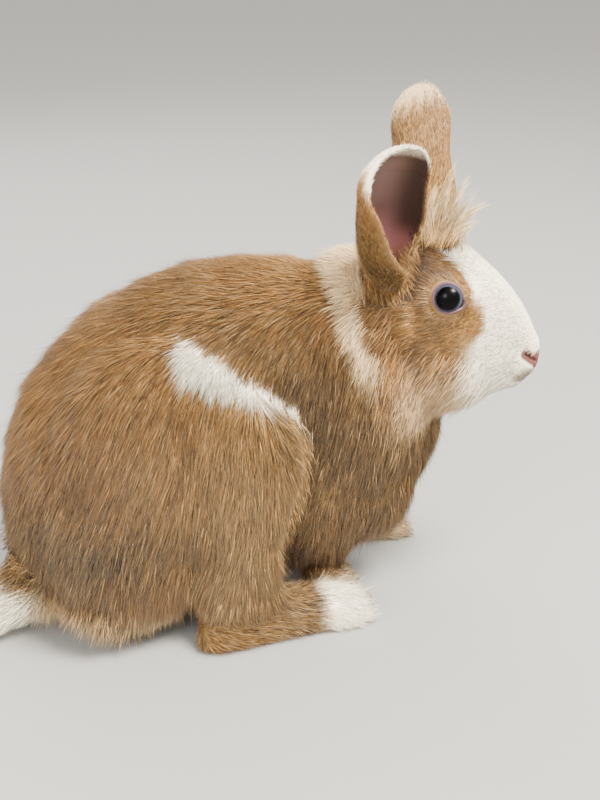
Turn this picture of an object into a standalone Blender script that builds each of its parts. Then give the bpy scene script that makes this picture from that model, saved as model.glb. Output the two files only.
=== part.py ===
"""A life-size lionhead rabbit, sitting, with its head turned to its right.

X runs from tail to nose, Y to the rabbit's left and Z up, with the floor at Z = 0.
Sizes in the tables are millimetres of the furred animal; the mesh is in metres.
"""

import math
import random

import bmesh
import bpy
from mathutils import Matrix, Vector
from mathutils.bvhtree import BVHTree

MM = 0.001

# Driving sizes of the animal, in millimetres
BACK_HEIGHT = 165.0
TORSO_HALF_WIDTH = 52.0
HEAD_TURN = math.radians(34.0)
HEAD_PIVOT = (24.0, 0.0)
EYE_RADIUS = 7.3
EYE_PLACE = (47.0, 15.6, 152.0)
EAR_HALF_WIDTH = 16.6
EAR_WALL = 2.0
HIND_FOOT_LENGTH = 88.0
GAP = 0.3
SEAM = 0.5 * GAP
SEED = 9

# Sizes of the long coat's locks, in millimetres
LOCK_THICKNESS = 1.6
LOCK_SINK = 2.6
LOCK_CLEAR = 1.7
# Tiers of the mane, the lowest first: place from the head's seam to the torso's, locks, width
MANE_TIERS = [(0.80, 15, 15.5), (0.50, 14, 15.0), (0.12, 12, 14.5)]
MANE_LENGTH_NAPE, MANE_LENGTH_SIDE, MANE_LENGTH_BIB = 24.0, 23.0, 29.0
# Rows of the cheek fringe in the head's side view, the lowest first: middle forward and up,
# reach back and down from it, first and last angle below level, locks, length
FRINGE_ROWS = [
    (44.0, 122.0, 17.0, 19.0, 4.0, 128.0, 7, 18.0),
    (42.0, 127.0, 12.0, 11.0, -14.0, 116.0, 6, 20.0),
]
FRINGE_WIDTH = 11.0
# Wisps of the forehead tuft in the head's frame: root and tip
TUFT_WISPS = [
    ((36.0, -3.5, 171.0), (41.0, -5.0, 199.0)),
    ((38.0, 1.0, 171.5), (45.5, 0.5, 204.0)),
    ((39.0, 4.5, 171.0), (42.0, 7.0, 195.0)),
    ((42.0, -2.5, 171.0), (51.5, -2.5, 197.0)),
    ((43.0, 2.5, 171.0), (53.5, 4.0, 191.0)),
    ((45.5, -0.5, 170.0), (55.0, -1.0, 184.0)),
]
TUFT_WIDTH = 5.5

# Voxel sizes of the fused forms, and the faces that each keeps
BODY_VOXEL, BODY_FACES, HAUNCH_FACES = 3.0, 1500, 520
HEAD_VOXEL, HEAD_FACES = 1.25, 2500
FOOT_VOXEL, HIND_FOOT_FACES, FORE_PAW_FACES = 1.3, 560, 340
TAIL_VOXEL, TAIL_FACES = 2.0, 380

# Side outline of the torso from rump to breast: place, underside, top, half width
TORSO_STATIONS = [
    (-137.0, 42.0, 70.0, 12.0),
    (-131.0, 26.0, 94.0, 27.0),
    (-121.0, 15.0, 115.0, 38.0),
    (-106.0, 10.0, 131.0, 46.0),
    (-88.0, 9.0, 146.0, 50.0),
    (-66.0, 9.0, 157.0, TORSO_HALF_WIDTH),
    (-44.0, 10.0, BACK_HEIGHT - 1.0, 49.0),
    (-22.0, 12.0, BACK_HEIGHT, 44.0),
    (0.0, 13.0, 163.0, 41.0),
    (18.0, 17.0, 157.0, 39.0),
    (33.0, 24.0, 147.0, 36.0),
    (45.0, 36.0, 134.0, 31.0),
    (55.5, 50.0, 119.0, 25.0),
    (63.0, 63.0, 105.0, 17.0),
    (67.0, 73.0, 94.0, 9.0),
]
TORSO_POWER = 2.35
TORSO_WIDEST = 0.43

# Outline of the head in its own plane: forward place, underside, top, half width
HEAD_STATIONS = [
    (6.0, 124.0, 150.0, 12.0),
    (12.0, 112.0, 161.0, 20.0),
    (20.0, 103.0, 168.0, 23.5),
    (30.0, 98.0, 171.5, 24.5),
    (40.0, 96.5, 173.0, 24.0),
    (50.0, 97.5, 171.5, 21.5),
    (57.0, 99.5, 167.0, 18.5),
    (64.0, 103.0, 161.5, 15.0),
    (70.0, 106.5, 155.0, 12.0),
    (75.0, 110.5, 148.0, 9.8),
    (79.0, 114.0, 141.0, 8.2),
    (82.0, 117.0, 134.5, 6.6),
    (84.2, 121.0, 130.0, 4.0),
]
HEAD_POWER = 2.15
HEAD_WIDEST = 0.40
RING_SIDES = 28


def clear_scene():
    for obj in list(bpy.data.objects):
        bpy.data.objects.remove(obj, do_unlink=True)


def finish_material(name, colour, roughness, metallic=0.0):
    material = bpy.data.materials.new(name)
    material.use_nodes = True
    shader = material.node_tree.nodes["Principled BSDF"]
    shader.inputs["Base Color"].default_value = (*colour, 1.0)
    shader.inputs["Roughness"].default_value = roughness
    shader.inputs["Metallic"].default_value = metallic
    return material


def object_from(name, points, faces, place=None):
    """A mesh object from points in millimetres, moved by the matrix place."""
    mesh = bpy.data.meshes.new(name)
    place = place or Matrix.Identity(4)
    mesh.from_pydata([place @ Vector(p) * MM for p in points], [], faces)
    mesh.validate()
    obj = bpy.data.objects.new(name, mesh)
    bpy.context.scene.collection.objects.link(obj)
    return obj


def apply_modifiers(obj):
    """Bakes the modifiers of obj into its mesh."""
    bpy.context.view_layer.update()
    graph = bpy.context.evaluated_depsgraph_get()
    made = bpy.data.meshes.new_from_object(obj.evaluated_get(graph))
    obj.modifiers.clear()
    obj.data = made
    return obj


def copy_of(obj, name):
    twin = obj.copy()
    twin.data = obj.data.copy()
    twin.name = name
    bpy.context.scene.collection.objects.link(twin)
    return twin


def remove(*objects):
    for obj in objects:
        bpy.data.objects.remove(obj, do_unlink=True)


def super_ring(x, low, high, half_width, power, widest, y=0.0, sides=RING_SIDES):
    """A rounded outline across the body at x, widest at a share of its height."""
    middle = low + (high - low) * widest
    ring = []
    for i in range(sides):
        turn = 2 * math.pi * i / sides
        cosine, sine = math.cos(turn), math.sin(turn)
        reach = high - middle if sine > 0 else middle - low
        across = half_width * math.copysign(abs(cosine) ** (2 / power), cosine)
        up = reach * math.copysign(abs(sine) ** (2 / power), sine)
        ring.append((x, y + across, middle + up))
    return ring


def loft(name, rings, place=None):
    """A closed skin over rings with equal numbers of points."""
    sides = len(rings[0])
    points = [p for ring in rings for p in ring]
    faces = []
    for r in range(len(rings) - 1):
        for i in range(sides):
            j = (i + 1) % sides
            here, there = r * sides, (r + 1) * sides
            faces.append((here + i, here + j, there + j, there + i))
    faces.append(tuple(reversed(range(sides))))
    faces.append(tuple(range(len(points) - sides, len(points))))
    return outward(object_from(name, points, faces, place))


def outward(obj):
    """Turns every face of a closed mesh outwards."""
    shape = bmesh.new()
    shape.from_mesh(obj.data)
    bmesh.ops.recalc_face_normals(shape, faces=shape.faces)
    if shape.calc_volume(signed=True) < 0:
        bmesh.ops.reverse_faces(shape, faces=shape.faces)
    shape.to_mesh(obj.data)
    shape.free()
    return obj


def blob(centre, radii, place=None, turn=(0.0, 0.0, 0.0), rings=14):
    """An ellipsoid, turned by angles in degrees about X, Y and Z."""
    shape = bmesh.new()
    bmesh.ops.create_uvsphere(shape, u_segments=2 * rings, v_segments=rings, radius=1.0)
    spin = Matrix.Identity(4)
    for axis, angle in zip("XYZ", turn):
        spin = Matrix.Rotation(math.radians(angle), 4, axis) @ spin
    move = Matrix.Translation(centre) @ spin @ Matrix.Diagonal((*radii, 1.0))
    place = place or Matrix.Identity(4)
    bmesh.ops.transform(shape, verts=shape.verts, matrix=Matrix.Scale(MM, 4) @ place @ move)
    mesh = bpy.data.meshes.new("blob")
    shape.to_mesh(mesh)
    shape.free()
    obj = bpy.data.objects.new("blob", mesh)
    bpy.context.scene.collection.objects.link(obj)
    return obj


def limb(joints, place=None, sides=16):
    """A round limb through joints of (x, y, z, radius), with rounded ends."""
    pieces = []
    for a, b in zip(joints, joints[1:]):
        start, end = Vector(a[:3]), Vector(b[:3])
        along = (end - start).normalized()
        spin = along.to_track_quat("Z", "Y").to_matrix()
        rings = []
        for centre, radius in ((start, a[3]), (end, b[3])):
            ring = []
            for i in range(sides):
                turn = 2 * math.pi * i / sides
                ring.append(centre + spin @ Vector((math.cos(turn), math.sin(turn), 0)) * radius)
            rings.append(ring)
        pieces.append(loft("limb", rings, place))
    pieces += [blob(j[:3], (j[3],) * 3, place, rings=10) for j in joints]
    return pieces


def fuse(name, pieces, voxel, smoothing, faces):
    """Melts overlapping closed pieces into one smooth skin of about that many faces."""
    shape = bmesh.new()
    for piece in pieces:
        shape.from_mesh(piece.data)
    mesh = bpy.data.meshes.new(name)
    shape.to_mesh(mesh)
    shape.free()
    obj = bpy.data.objects.new(name, mesh)
    bpy.context.scene.collection.objects.link(obj)
    remove(*pieces)
    remesh = obj.modifiers.new("melt", "REMESH")
    remesh.mode = "VOXEL"
    remesh.voxel_size = voxel * MM
    smooth = obj.modifiers.new("smooth", "SMOOTH")
    smooth.factor = 0.5
    smooth.iterations = smoothing
    triangles = obj.modifiers.new("triangles", "TRIANGULATE")
    triangles.min_vertices = 4
    apply_modifiers(obj)
    thin = obj.modifiers.new("thin", "DECIMATE")
    thin.ratio = min(1.0, faces / len(obj.data.polygons))
    return apply_modifiers(obj)


def boolean(obj, other, operation, solver="EXACT"):
    step = obj.modifiers.new(operation.lower(), "BOOLEAN")
    step.operation = operation
    step.object = other
    step.solver = solver
    return apply_modifiers(obj)


def largest_surface(obj):
    """Keeps only the largest closed surface of obj."""
    shape = bmesh.new()
    shape.from_mesh(obj.data)
    bmesh.ops.remove_doubles(shape, verts=shape.verts, dist=2e-6)
    bmesh.ops.dissolve_degenerate(shape, edges=shape.edges, dist=2e-6)
    unseen = set(shape.verts)
    groups = []
    while unseen:
        stack = [unseen.pop()]
        group = set(stack)
        while stack:
            for edge in stack.pop().link_edges:
                for vert in edge.verts:
                    if vert in unseen:
                        unseen.remove(vert)
                        group.add(vert)
                        stack.append(vert)
        groups.append(group)

    def spread(group):
        low = [min(v.co[i] for v in group) for i in range(3)]
        high = [max(v.co[i] for v in group) for i in range(3)]
        return math.dist(low, high)

    keep = max(groups, key=spread)
    bmesh.ops.delete(shape, geom=[v for v in shape.verts if v not in keep], context="VERTS")
    shape.to_mesh(obj.data)
    shape.free()
    return obj


def grown(obj, amount):
    """A copy of obj with its skin moved out by amount millimetres."""
    twin = copy_of(obj, obj.name + "_grown")
    shape = bmesh.new()
    shape.from_mesh(twin.data)
    shape.normal_update()
    moves = [(v, v.normal.copy()) for v in shape.verts]
    for vert, normal in moves:
        vert.co += normal * amount * MM
    shape.to_mesh(twin.data)
    shape.free()
    return twin


def half_space(point, normal, reach=400.0):
    """A large block that fills the side of a plane to which normal points."""
    spin = Vector(normal).to_track_quat("Z", "Y").to_matrix().to_4x4()
    place = Matrix.Translation(point) @ spin
    r = reach
    points = [(x, y, z) for z in (0.0, r) for x, y in ((-r, -r), (r, -r), (r, r), (-r, r))]
    faces = [(3, 2, 1, 0), (4, 5, 6, 7), (0, 1, 5, 4), (1, 2, 6, 5), (2, 3, 7, 6), (3, 0, 4, 7)]
    return outward(object_from("half_space", points, faces, place))


def part_at(obj, point, normal):
    """Cuts obj at a plane. Returns the piece in front and the piece behind, a gap apart."""
    normal = Vector(normal).normalized()
    point = Vector(point)
    ahead = half_space(point + normal * SEAM, normal)
    behind = half_space(point - normal * SEAM, -normal)
    front, back = copy_of(obj, "front"), copy_of(obj, "back")
    boolean(front, ahead, "INTERSECT")
    boolean(back, behind, "INTERSECT")
    remove(ahead, behind, obj)
    return front, back


def carve(obj, region_of):
    """Splits off what lies in a region. region_of(margin) builds its solid, grown by margin."""
    inner, outer = region_of(-SEAM), region_of(SEAM)
    taken = copy_of(obj, "taken")
    boolean(taken, inner, "INTERSECT")
    boolean(obj, outer, "DIFFERENCE")
    remove(inner, outer)
    return taken, obj


def prism(outline, y_low, y_high):
    """A solid with a side outline of (x, z) points between two widths."""
    count = len(outline)
    points = [(x, y_low, z) for x, z in outline] + [(x, y_high, z) for x, z in outline]
    faces = [tuple(range(count)), tuple(reversed(range(count, 2 * count)))]
    for i in range(count):
        j = (i + 1) % count
        faces.append((j, i, count + i, count + j))
    return outward(object_from("prism", points, faces))


# The head is shaped in its own frame, forward along X, and turned about its pivot
HEAD = Matrix.Translation((*HEAD_PIVOT, 0.0)) @ Matrix.Rotation(-HEAD_TURN, 4, "Z")

# Where head, neck and torso are parted: a point and the direction towards the nose
HEAD_SEAM = HEAD @ Vector((15.0, 0.0, 140.0)), HEAD.to_3x3() @ Vector((0.93, 0.0, 0.36))
NECK_SEAM = Vector((-5.0, 0.0, 168.0)), Vector((0.82, -0.28, 0.50))
NECK_MIDDLE = Vector((19.0, 0.0, 128.0))


def neck_pieces():
    """The core of the short thick neck, from the shoulders into the back of the skull."""
    skull = HEAD @ Vector((22.0, 0.0, 136.0))
    nape = limb([(2.0, 0.0, 121.0, 39.0), (20.0, -2.0, 127.0, 35.0), (*skull, 28.5)])
    return nape + [blob((50.0, -4.0, 89.0), (17.0, 22.0, 23.0))]


def haunch_pieces(side):
    """The bent knee, the thigh and the fur that hangs behind the heel."""
    return [
        blob((-66.0, side * 30.0, 86.0), (50.0, 28.0, 60.0)),
        blob((-40.0, side * 40.0, 83.0), (33.0, 21.0, 41.0)),
        blob((-82.0, side * 34.0, 52.0), (40.0, 22.0, 45.0)),
        *shank_pieces(side),
    ]


def shank_pieces(side):
    return [blob((-38.0, side * 44.0, 34.0), (21.0, 15.5, 38.0))]


def shoulder_pieces(side):
    return [
        blob((22.0, side * 21.0, 94.0), (34.0, 23.0, 50.0), turn=(0, 12, 0)),
        blob((30.0, side * 17.0, 58.0), (23.0, 18.0, 31.0)),
    ]


def torso_form():
    rings = [super_ring(*s, TORSO_POWER, TORSO_WIDEST) for s in TORSO_STATIONS]
    return loft("torso_form", rings)


def body_form():
    pieces = [torso_form(), *neck_pieces()]
    for side in (-1, 1):
        pieces += shoulder_pieces(side)
    for name in ("fore_leg_right", "fore_leg_left"):
        pieces += limb(FORE_LEGS[name][:3])
    return fuse("body", pieces, BODY_VOXEL, 14, BODY_FACES)


# Shoulder, elbow, wrist and toe of each foreleg: x, y, z and radius
FORE_LEGS = {
    "fore_leg_right": [(28, -18, 62, 17), (16, -16, 34, 13), (5, -13.5, 13, 9.0), (17, -12, 7, 7)],
    "fore_leg_left": [(34, 20, 62, 17), (40, 23, 36, 13.5), (46, 25, 14, 9.0), (58, 26, 7, 7)],
}


def surface_of(*objects):
    """One search tree, in millimetres, over the skins of closed objects."""
    points, faces = [], []
    for obj in objects:
        start = len(points)
        points += [v.co / MM for v in obj.data.vertices]
        faces += [[start + i for i in p.vertices] for p in obj.data.polygons]
    return BVHTree.FromPolygons(points, faces)


def drape_over(*objects):
    """A smooth sheet over the whole animal, for the long coat to lie on."""
    pieces = [copy_of(obj, "under") for obj in objects]
    sheet = fuse("drape", pieces, 2.5, 4, 12000)
    surface = surface_of(sheet)
    remove(sheet)
    return surface


def walk(root, lie, length, lift, drape, count=4):
    """Stations of a lock that rises from its root and clings to the sheet below it."""
    place = Vector(root)
    stations = []
    for k in range(count):
        share = k / (count - 1)
        below, normal, face, distance = drape.find_nearest(place)
        along = (lie - normal * lie.dot(normal)).normalized()
        height = LOCK_CLEAR + lift * math.sin(share * math.pi * 0.6)
        here = below + normal * height
        if k == 0:
            here = Vector(root) - normal * LOCK_SINK
        stations.append((here, along, normal))
        place = below + along * length / (count - 1)
    return stations


def hang(root, lie, out, length, drape, count=4):
    """Stations of a lock that hangs from its root, bows outwards and stays clear of the sheet."""
    stations = []
    for k in range(count):
        share = k / (count - 1)
        here = root + lie * length * share + out * 2.6 * math.sin(share * math.pi * 0.8)
        if k == 0:
            here = root - out * LOCK_SINK
        else:
            below, normal, face, distance = drape.find_nearest(here)
            here += normal * max(0.0, LOCK_CLEAR - (here - below).dot(normal))
        stations.append((here, lie, out))
    return stations


def lock(stations, width, thickness, grow=0.0):
    """A flat closed lock with a four-cornered section that tapers to a point."""
    points, faces = [], []
    last = len(stations) - 1
    for k, (place, along, normal) in enumerate(stations[:-1]):
        share = k / last
        across = along.cross(normal).normalized()
        half_wide = width / 2 * (1.0 - 0.75 * share**1.6) * (0.5 if k == 0 else 1.0) + grow
        half_thick = thickness / 2 * (1.0 - 0.5 * share) + grow
        points += [
            place + across * half_wide,
            place + normal * half_thick,
            place - across * half_wide,
            place - normal * half_thick,
        ]
    points.append(stations[-1][0] + stations[-1][1] * grow)
    for k in range(last - 1):
        for i in range(4):
            j = (i + 1) % 4
            a, b, c, d = 4 * k + i, 4 * k + j, 4 * k + 4 + j, 4 * k + 4 + i
            faces += [(a, b, c), (a, c, d)]
    top = 4 * (last - 1)
    faces += [(top + i, top + (i + 1) % 4, len(points) - 1) for i in range(4)]
    faces += [(0, 2, 1), (0, 3, 2)]
    return outward(object_from("lock", points, faces))


def mane_stations(body, drape):
    """Stations and width of each lock of the mane, in tiers from the shoulders to the head."""
    draw = random.Random(SEED)
    core = surface_of(body)
    skull = HEAD @ Vector((15.0, 0.0, 140.0))
    found = []
    for share, count, width in MANE_TIERS:
        normal = HEAD_SEAM[1].normalized().lerp(NECK_SEAM[1].normalized(), share).normalized()
        middle = skull.lerp(NECK_MIDDLE, share)
        side = Vector((0.0, 0.0, 1.0)).cross(normal).normalized()
        up = normal.cross(side)
        for i in range(count):
            turn = 2 * math.pi * (i + 0.5 * (share == 0.50) + draw.uniform(-0.2, 0.2)) / count
            root = core.ray_cast(middle, side * math.sin(turn) + up * math.cos(turn))[0]
            low = 0.5 - 0.5 * math.cos(turn)
            lie = -normal * (1.0 - 0.75 * low) + Vector((0.0, 0.0, -1.0)) * (0.10 + 1.1 * low)
            lie += side * draw.uniform(-0.22, 0.22)
            if low < 0.5:
                length = MANE_LENGTH_NAPE + (MANE_LENGTH_SIDE - MANE_LENGTH_NAPE) * 2 * low
            else:
                length = MANE_LENGTH_SIDE + (MANE_LENGTH_BIB - MANE_LENGTH_SIDE) * (2 * low - 1)
            length *= draw.uniform(0.85, 1.12)
            stations = walk(root, lie.normalized(), length, draw.uniform(1.6, 3.6), drape)
            found.append((stations, width * draw.uniform(0.85, 1.1)))
    return found


def fringe_stations(head, drape):
    """Stations and width of each lock behind and below the cheeks."""
    draw = random.Random(SEED + 1)
    core = surface_of(head)
    turn = HEAD.to_3x3()
    found = []
    for forward, up, reach_back, reach_down, first, last, count, length in FRINGE_ROWS:
        for side in (-1, 1):
            for i in range(count):
                share = (i + draw.uniform(-0.15, 0.15)) / (count - 1)
                angle = math.radians(first + (last - first) * share)
                back, down = math.cos(angle), math.sin(angle)
                inside = HEAD @ Vector((forward - reach_back * back, 0.0, up - reach_down * down))
                out = turn @ Vector((0.0, side, 0.0))
                root = core.ray_cast(inside, out)[0]
                lie = turn @ Vector((-back - 0.40, side * 0.1, -down - 0.55))
                span = length * draw.uniform(0.85, 1.15)
                if down < 0.75:
                    stations = walk(root, lie.normalized(), span, draw.uniform(0.6, 1.8), drape)
                else:
                    lie = turn @ Vector((-0.40 * back - 0.35, side * draw.uniform(0.0, 0.25), -1.0))
                    stations = hang(root, lie.normalized(), out, span * 1.15, drape)
                found.append((stations, FRINGE_WIDTH * draw.uniform(0.85, 1.1)))
    return found


def tuft_stations():
    """Stations and width of each wisp of the tuft, bending up and forwards."""
    draw = random.Random(SEED + 2)
    found = []
    for root, tip in TUFT_WISPS:
        start, end = HEAD @ Vector(root), HEAD @ Vector(tip)
        start.z -= LOCK_SINK
        knee = start.lerp(end, 0.45) + HEAD.to_3x3() @ Vector((-3.0, 0.0, 3.0))
        stations = []
        for k in range(5):
            t = k / 4
            place = start.lerp(knee, t).lerp(knee.lerp(end, t), t)
            along = (knee - start).lerp(end - knee, t).normalized()
            turn = Matrix.Rotation(draw.uniform(-0.5, 0.5), 3, "Z")
            ahead = turn @ (HEAD.to_3x3() @ Vector((0.45, 1.0, 0.0)))
            normal = (ahead - along * ahead.dot(along)).normalized()
            stations.append((place, along, normal))
        found.append((stations, TUFT_WIDTH * draw.uniform(0.85, 1.15)))
    return found


def add_locks(obj, found, grow=0.0):
    """Joins locks to obj with one union, and keeps the largest closed surface."""
    group = bpy.data.collections.new("locks")
    bpy.context.scene.collection.children.link(group)
    for stations, width in found:
        piece = lock(stations, width, LOCK_THICKNESS, grow)
        bpy.context.scene.collection.objects.unlink(piece)
        group.objects.link(piece)
    step = obj.modifiers.new("union", "BOOLEAN")
    step.operation = "UNION"
    step.operand_type = "COLLECTION"
    step.collection = group
    step.solver = "MANIFOLD"
    apply_modifiers(obj)
    remove(*list(group.objects))
    bpy.data.collections.remove(group)
    return largest_surface(obj)


def side_of(joints):
    """One on the rabbit's left, minus one on its right."""
    return 1.0 if joints[0][1] > 0 else -1.0


def head_form():
    rings = [super_ring(*s, HEAD_POWER, HEAD_WIDEST) for s in HEAD_STATIONS]
    pieces = [loft("head_form", rings, HEAD)]
    for side in (-1, 1):
        pieces += [
            blob((36.0, side * 12.0, 122.0), (20.5, 13.0, 20.0), HEAD),
            blob((47.0, side * 11.0, 151.5), (13.0, 10.0, 12.5), HEAD),
            blob((73.0, side * 4.7, 121.6), (8.8, 5.8, 7.0), HEAD, (0, 35, side * -12)),
            blob((22.0, side * 13.0, 157.5), (9.0, 8.5, 9.0), HEAD),
        ]
        pieces.append(eye_rim(side))
    pieces += [
        blob((77.0, 0.0, 129.5), (7.6, 6.0, 7.4), HEAD, (0, 30, 0)),
        blob((73.5, 0.0, 113.8), (7.0, 5.2, 4.8), HEAD, (0, -35, 0)),
    ]
    return fuse("head", pieces, HEAD_VOXEL, 4, HEAD_FACES)


def eye_centre(side):
    forward, out, up = EYE_PLACE
    return Vector((forward, side * out, up))


def eye_axis(side):
    """Rabbits' eyes look sideways, a little forward and up."""
    return Vector((0.10, side * 1.0, 0.10)).normalized()


def eye_rim(side, sides=32, tube_sides=10):
    """The lids: a soft ring round the eyeball, thicker above."""
    spin = eye_axis(side).to_track_quat("Z", "X").to_matrix().to_4x4()
    place = HEAD @ Matrix.Translation(eye_centre(side) + eye_axis(side) * 2.6) @ spin
    ring_radius, tube = 7.4, 1.9
    rings = []
    for i in range(sides):
        turn = 2 * math.pi * i / sides
        out = Vector((math.cos(turn), math.sin(turn), 0.0))
        ring = []
        for k in range(tube_sides):
            around = 2 * math.pi * k / tube_sides
            rise = Vector((0.0, 0.0, tube * math.sin(around)))
            ring.append(out * (ring_radius + tube * math.cos(around)) + rise)
        rings.append(ring)
    points = [p for ring in rings for p in ring]
    faces = []
    for r in range(sides):
        for k in range(tube_sides):
            n, m = (r + 1) % sides, (k + 1) % tube_sides
            a, b = r * tube_sides, n * tube_sides
            faces.append((a + k, a + m, b + m, b + k))
    return outward(object_from("eye_rim", points, faces, place))


def eyeball(name, side, radius, rings=9):
    """The ball of an eye."""
    spin = eye_axis(side).to_track_quat("Z", "X").to_matrix().to_4x4()
    place = HEAD @ Matrix.Translation(eye_centre(side)) @ spin
    obj = blob((0.0, 0.0, 0.0), (radius,) * 3, place, rings=rings)
    obj.name = name
    return obj


def groove(route, radius, place=None, sides=6):
    """A thin cutter along a route of points, pointed at both ends."""
    points = [Vector(p) for p in route]
    rings = []
    for i, point in enumerate(points):
        along = points[min(i + 1, len(points) - 1)] - points[max(i - 1, 0)]
        spin = along.to_track_quat("Z", "Y").to_matrix()
        size = radius if 0 < i < len(points) - 1 else radius * 0.4
        ring = []
        for k in range(sides):
            turn = 2 * math.pi * k / sides
            ring.append(point + spin @ Vector((math.cos(turn), math.sin(turn), 0)) * size)
        rings.append(ring)
    return loft("groove", rings, place)


def cut_face(head):
    """Cuts the sockets, the nostrils, the cleft of the lip and the line of the mouth."""
    for side in (-1, 1):
        socket = eyeball("socket", side, EYE_RADIUS + GAP)
        boolean(head, socket, "DIFFERENCE")
        remove(socket)
    nostril_right = [(84.5, -0.9, 124.4), (82.6, -3.6, 126.2), (79.8, -6.4, 128.3)]
    routes = [
        (nostril_right, 0.8),
        ([(x, -y, z) for x, y, z in nostril_right], 0.8),
        ([(84.8, 0.0, 123.4), (83.6, 0.0, 119.5), (81.6, 0.0, 116.0)], 0.7),
        ([(81.8, 0.0, 115.6), (78.8, -4.6, 113.6), (74.5, -7.4, 111.4), (69.0, -9.6, 109.6)], 0.7),
        ([(81.8, 0.0, 115.6), (78.8, 4.6, 113.6), (74.5, 7.4, 111.4), (69.0, 9.6, 109.6)], 0.7),
    ]
    for route, radius in routes:
        cutter = groove(route, radius, HEAD)
        boolean(head, cutter, "DIFFERENCE")
        remove(cutter)
    return largest_surface(head)


# Each ear in the head's frame: base, tip, how far its middle bows, and the way its cup faces
# at the base and at the tip
EARS = {
    "ear_right": (
        (18.5, -15.5, 158.0),
        (32.5, -39.0, 218.5),
        (-3.5, 0.0, 0.0),
        (3.0, -1.0, 0.0),
        (0.75, -1.0, 0.1),
    ),
    "ear_left": (
        (25.0, 15.0, 162.0),
        (21.0, 31.0, 233.5),
        (-1.0, 0.0, 0.0),
        (2.0, 1.0, 0.0),
        (0.3, 1.0, 0.1),
    ),
}
# Along an ear: share of its length, half width and half angle of the cup in degrees
EAR_STATIONS = [
    (0.00, 8.2, 165.0),
    (0.06, 8.8, 163.0),
    (0.13, 10.2, 158.0),
    (0.22, 12.6, 142.0),
    (0.33, 15.0, 120.0),
    (0.46, EAR_HALF_WIDTH, 98.0),
    (0.60, 17.0, 78.0),
    (0.74, 16.4, 64.0),
    (0.86, 14.2, 54.0),
    (0.94, 10.6, 47.0),
    (0.985, 6.4, 42.0),
    (1.00, 3.0, 40.0),
]
EAR_ARC_POINTS = 9


def ear(name):
    """A cupped ear: crescents stacked from the rolled base to the rounded tip."""
    base, tip, bow, facing_low, facing_high = (Vector(v) for v in EARS[name])
    up = (tip - base).normalized()
    rings = []
    for share, half_width, cup in EAR_STATIONS:
        cup = math.radians(cup)
        facing = facing_low.lerp(facing_high, min(1.0, 1.25 * share))
        facing = (facing - up * facing.dot(up)).normalized()
        across = up.cross(facing)
        radius = half_width / math.sin(min(cup, math.pi / 2))
        spine = base.lerp(tip, share) + bow * 4 * share * (1 - share)
        centre = spine + facing * (radius - half_width * 0.6)
        wall = EAR_WALL * (1.15 - 0.35 * share)
        ring = []
        for direction, reach in ((1, radius), (-1, radius - wall)):
            for i in range(EAR_ARC_POINTS):
                turn = direction * cup * (2 * i / (EAR_ARC_POINTS - 1) - 1)
                offset = across * math.sin(turn) - facing * math.cos(turn)
                ring.append(centre + offset * reach)
        rings.append(ring)
    return loft(name, rings, HEAD)


def hind_foot(name, side):
    """The long hind foot with its heel and four furred toes."""
    turn = Matrix.Rotation(math.radians(side * -8.0), 4, "Z")
    place = Matrix.Translation((-59.0, side * 48.0, 0.0)) @ turn
    stations = [
        (0.0, -2.0, 12.0, 5.5),
        (5.0, -2.0, 20.0, 9.5),
        (16.0, -2.0, 25.0, 11.5),
        (34.0, -2.0, 24.0, 11.5),
        (50.0, -2.0, 20.5, 12.0),
        (62.0, -2.0, 18.5, 12.5),
        (70.0, -2.0, 15.0, 11.0),
        (74.0, -1.0, 10.0, 8.0),
    ]
    pieces = [loft("foot", [super_ring(*s, 2.5, 0.35) for s in stations], place)]
    for i in range(4):
        out = (i - 1.5) * 6.4
        back = abs(i - 1.5) * 2.2 + (1.6 if i * side > 1.5 * side else 0.0)
        radii = (HIND_FOOT_LENGTH - 69.5, 4.5, 8.6)
        pieces.append(blob((69.0 - back, out, 7.4), radii, place, (0, 8, out * 0.8)))
    pieces += shank_pieces(side)
    return fuse(name, pieces, FOOT_VOXEL, 4, HIND_FOOT_FACES)


def fore_paw(name, joints):
    """A small rounded forepaw with its toes, below the wrist."""
    wrist, toe = Vector(joints[2][:3]), Vector(joints[3][:3])
    heading = math.atan2(toe.y - wrist.y, toe.x - wrist.x)
    place = Matrix.Translation((wrist.x, wrist.y, 0.0)) @ Matrix.Rotation(heading, 4, "Z")
    pieces = limb(joints[1:3])
    pieces.append(blob((5.0, 0.0, 6.5), (13.0, 8.2, 8.4), place))
    for i in range(4):
        out = (i - 1.5) * 4.3
        back = abs(i - 1.5) * 1.7
        pieces.append(blob((13.0 - back, out, 5.0), (7.0, 2.9, 5.6), place, (0, 8, out * 1.2)))
    return fuse(name, pieces, FOOT_VOXEL, 3, FORE_PAW_FACES)


def tail():
    """The short tail laid back on the floor, turned a little to the right."""
    pieces = limb([(-112.0, -4.0, 30.0, 15.0), (-128.0, -9.0, 21.0, 15.5), (-141.0, -14.0, 15.0, 13.0)])
    pieces.append(blob((-146.0, -16.0, 13.0), (11.0, 12.0, 10.5), turn=(0, 0, 20)))
    return fuse("tail", pieces, TAIL_VOXEL, 6, TAIL_FACES)


def haunch(name, side):
    """A haunch as a form of its own, so that it stands out from the flank."""
    form = fuse(name, haunch_pieces(side), BODY_VOXEL, 8, HAUNCH_FACES)
    inside = half_space((0.0, side * 18.0, 0.0), (0.0, side, 0.0))
    boolean(form, inside, "INTERSECT")
    under = prism([(-63.0, -10.0), (60.0, -10.0), (60.0, 29.0), (-63.0, 29.0)], -90.0, 90.0)
    boolean(form, under, "DIFFERENCE")
    remove(inside, under)
    return largest_surface(form)


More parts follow.
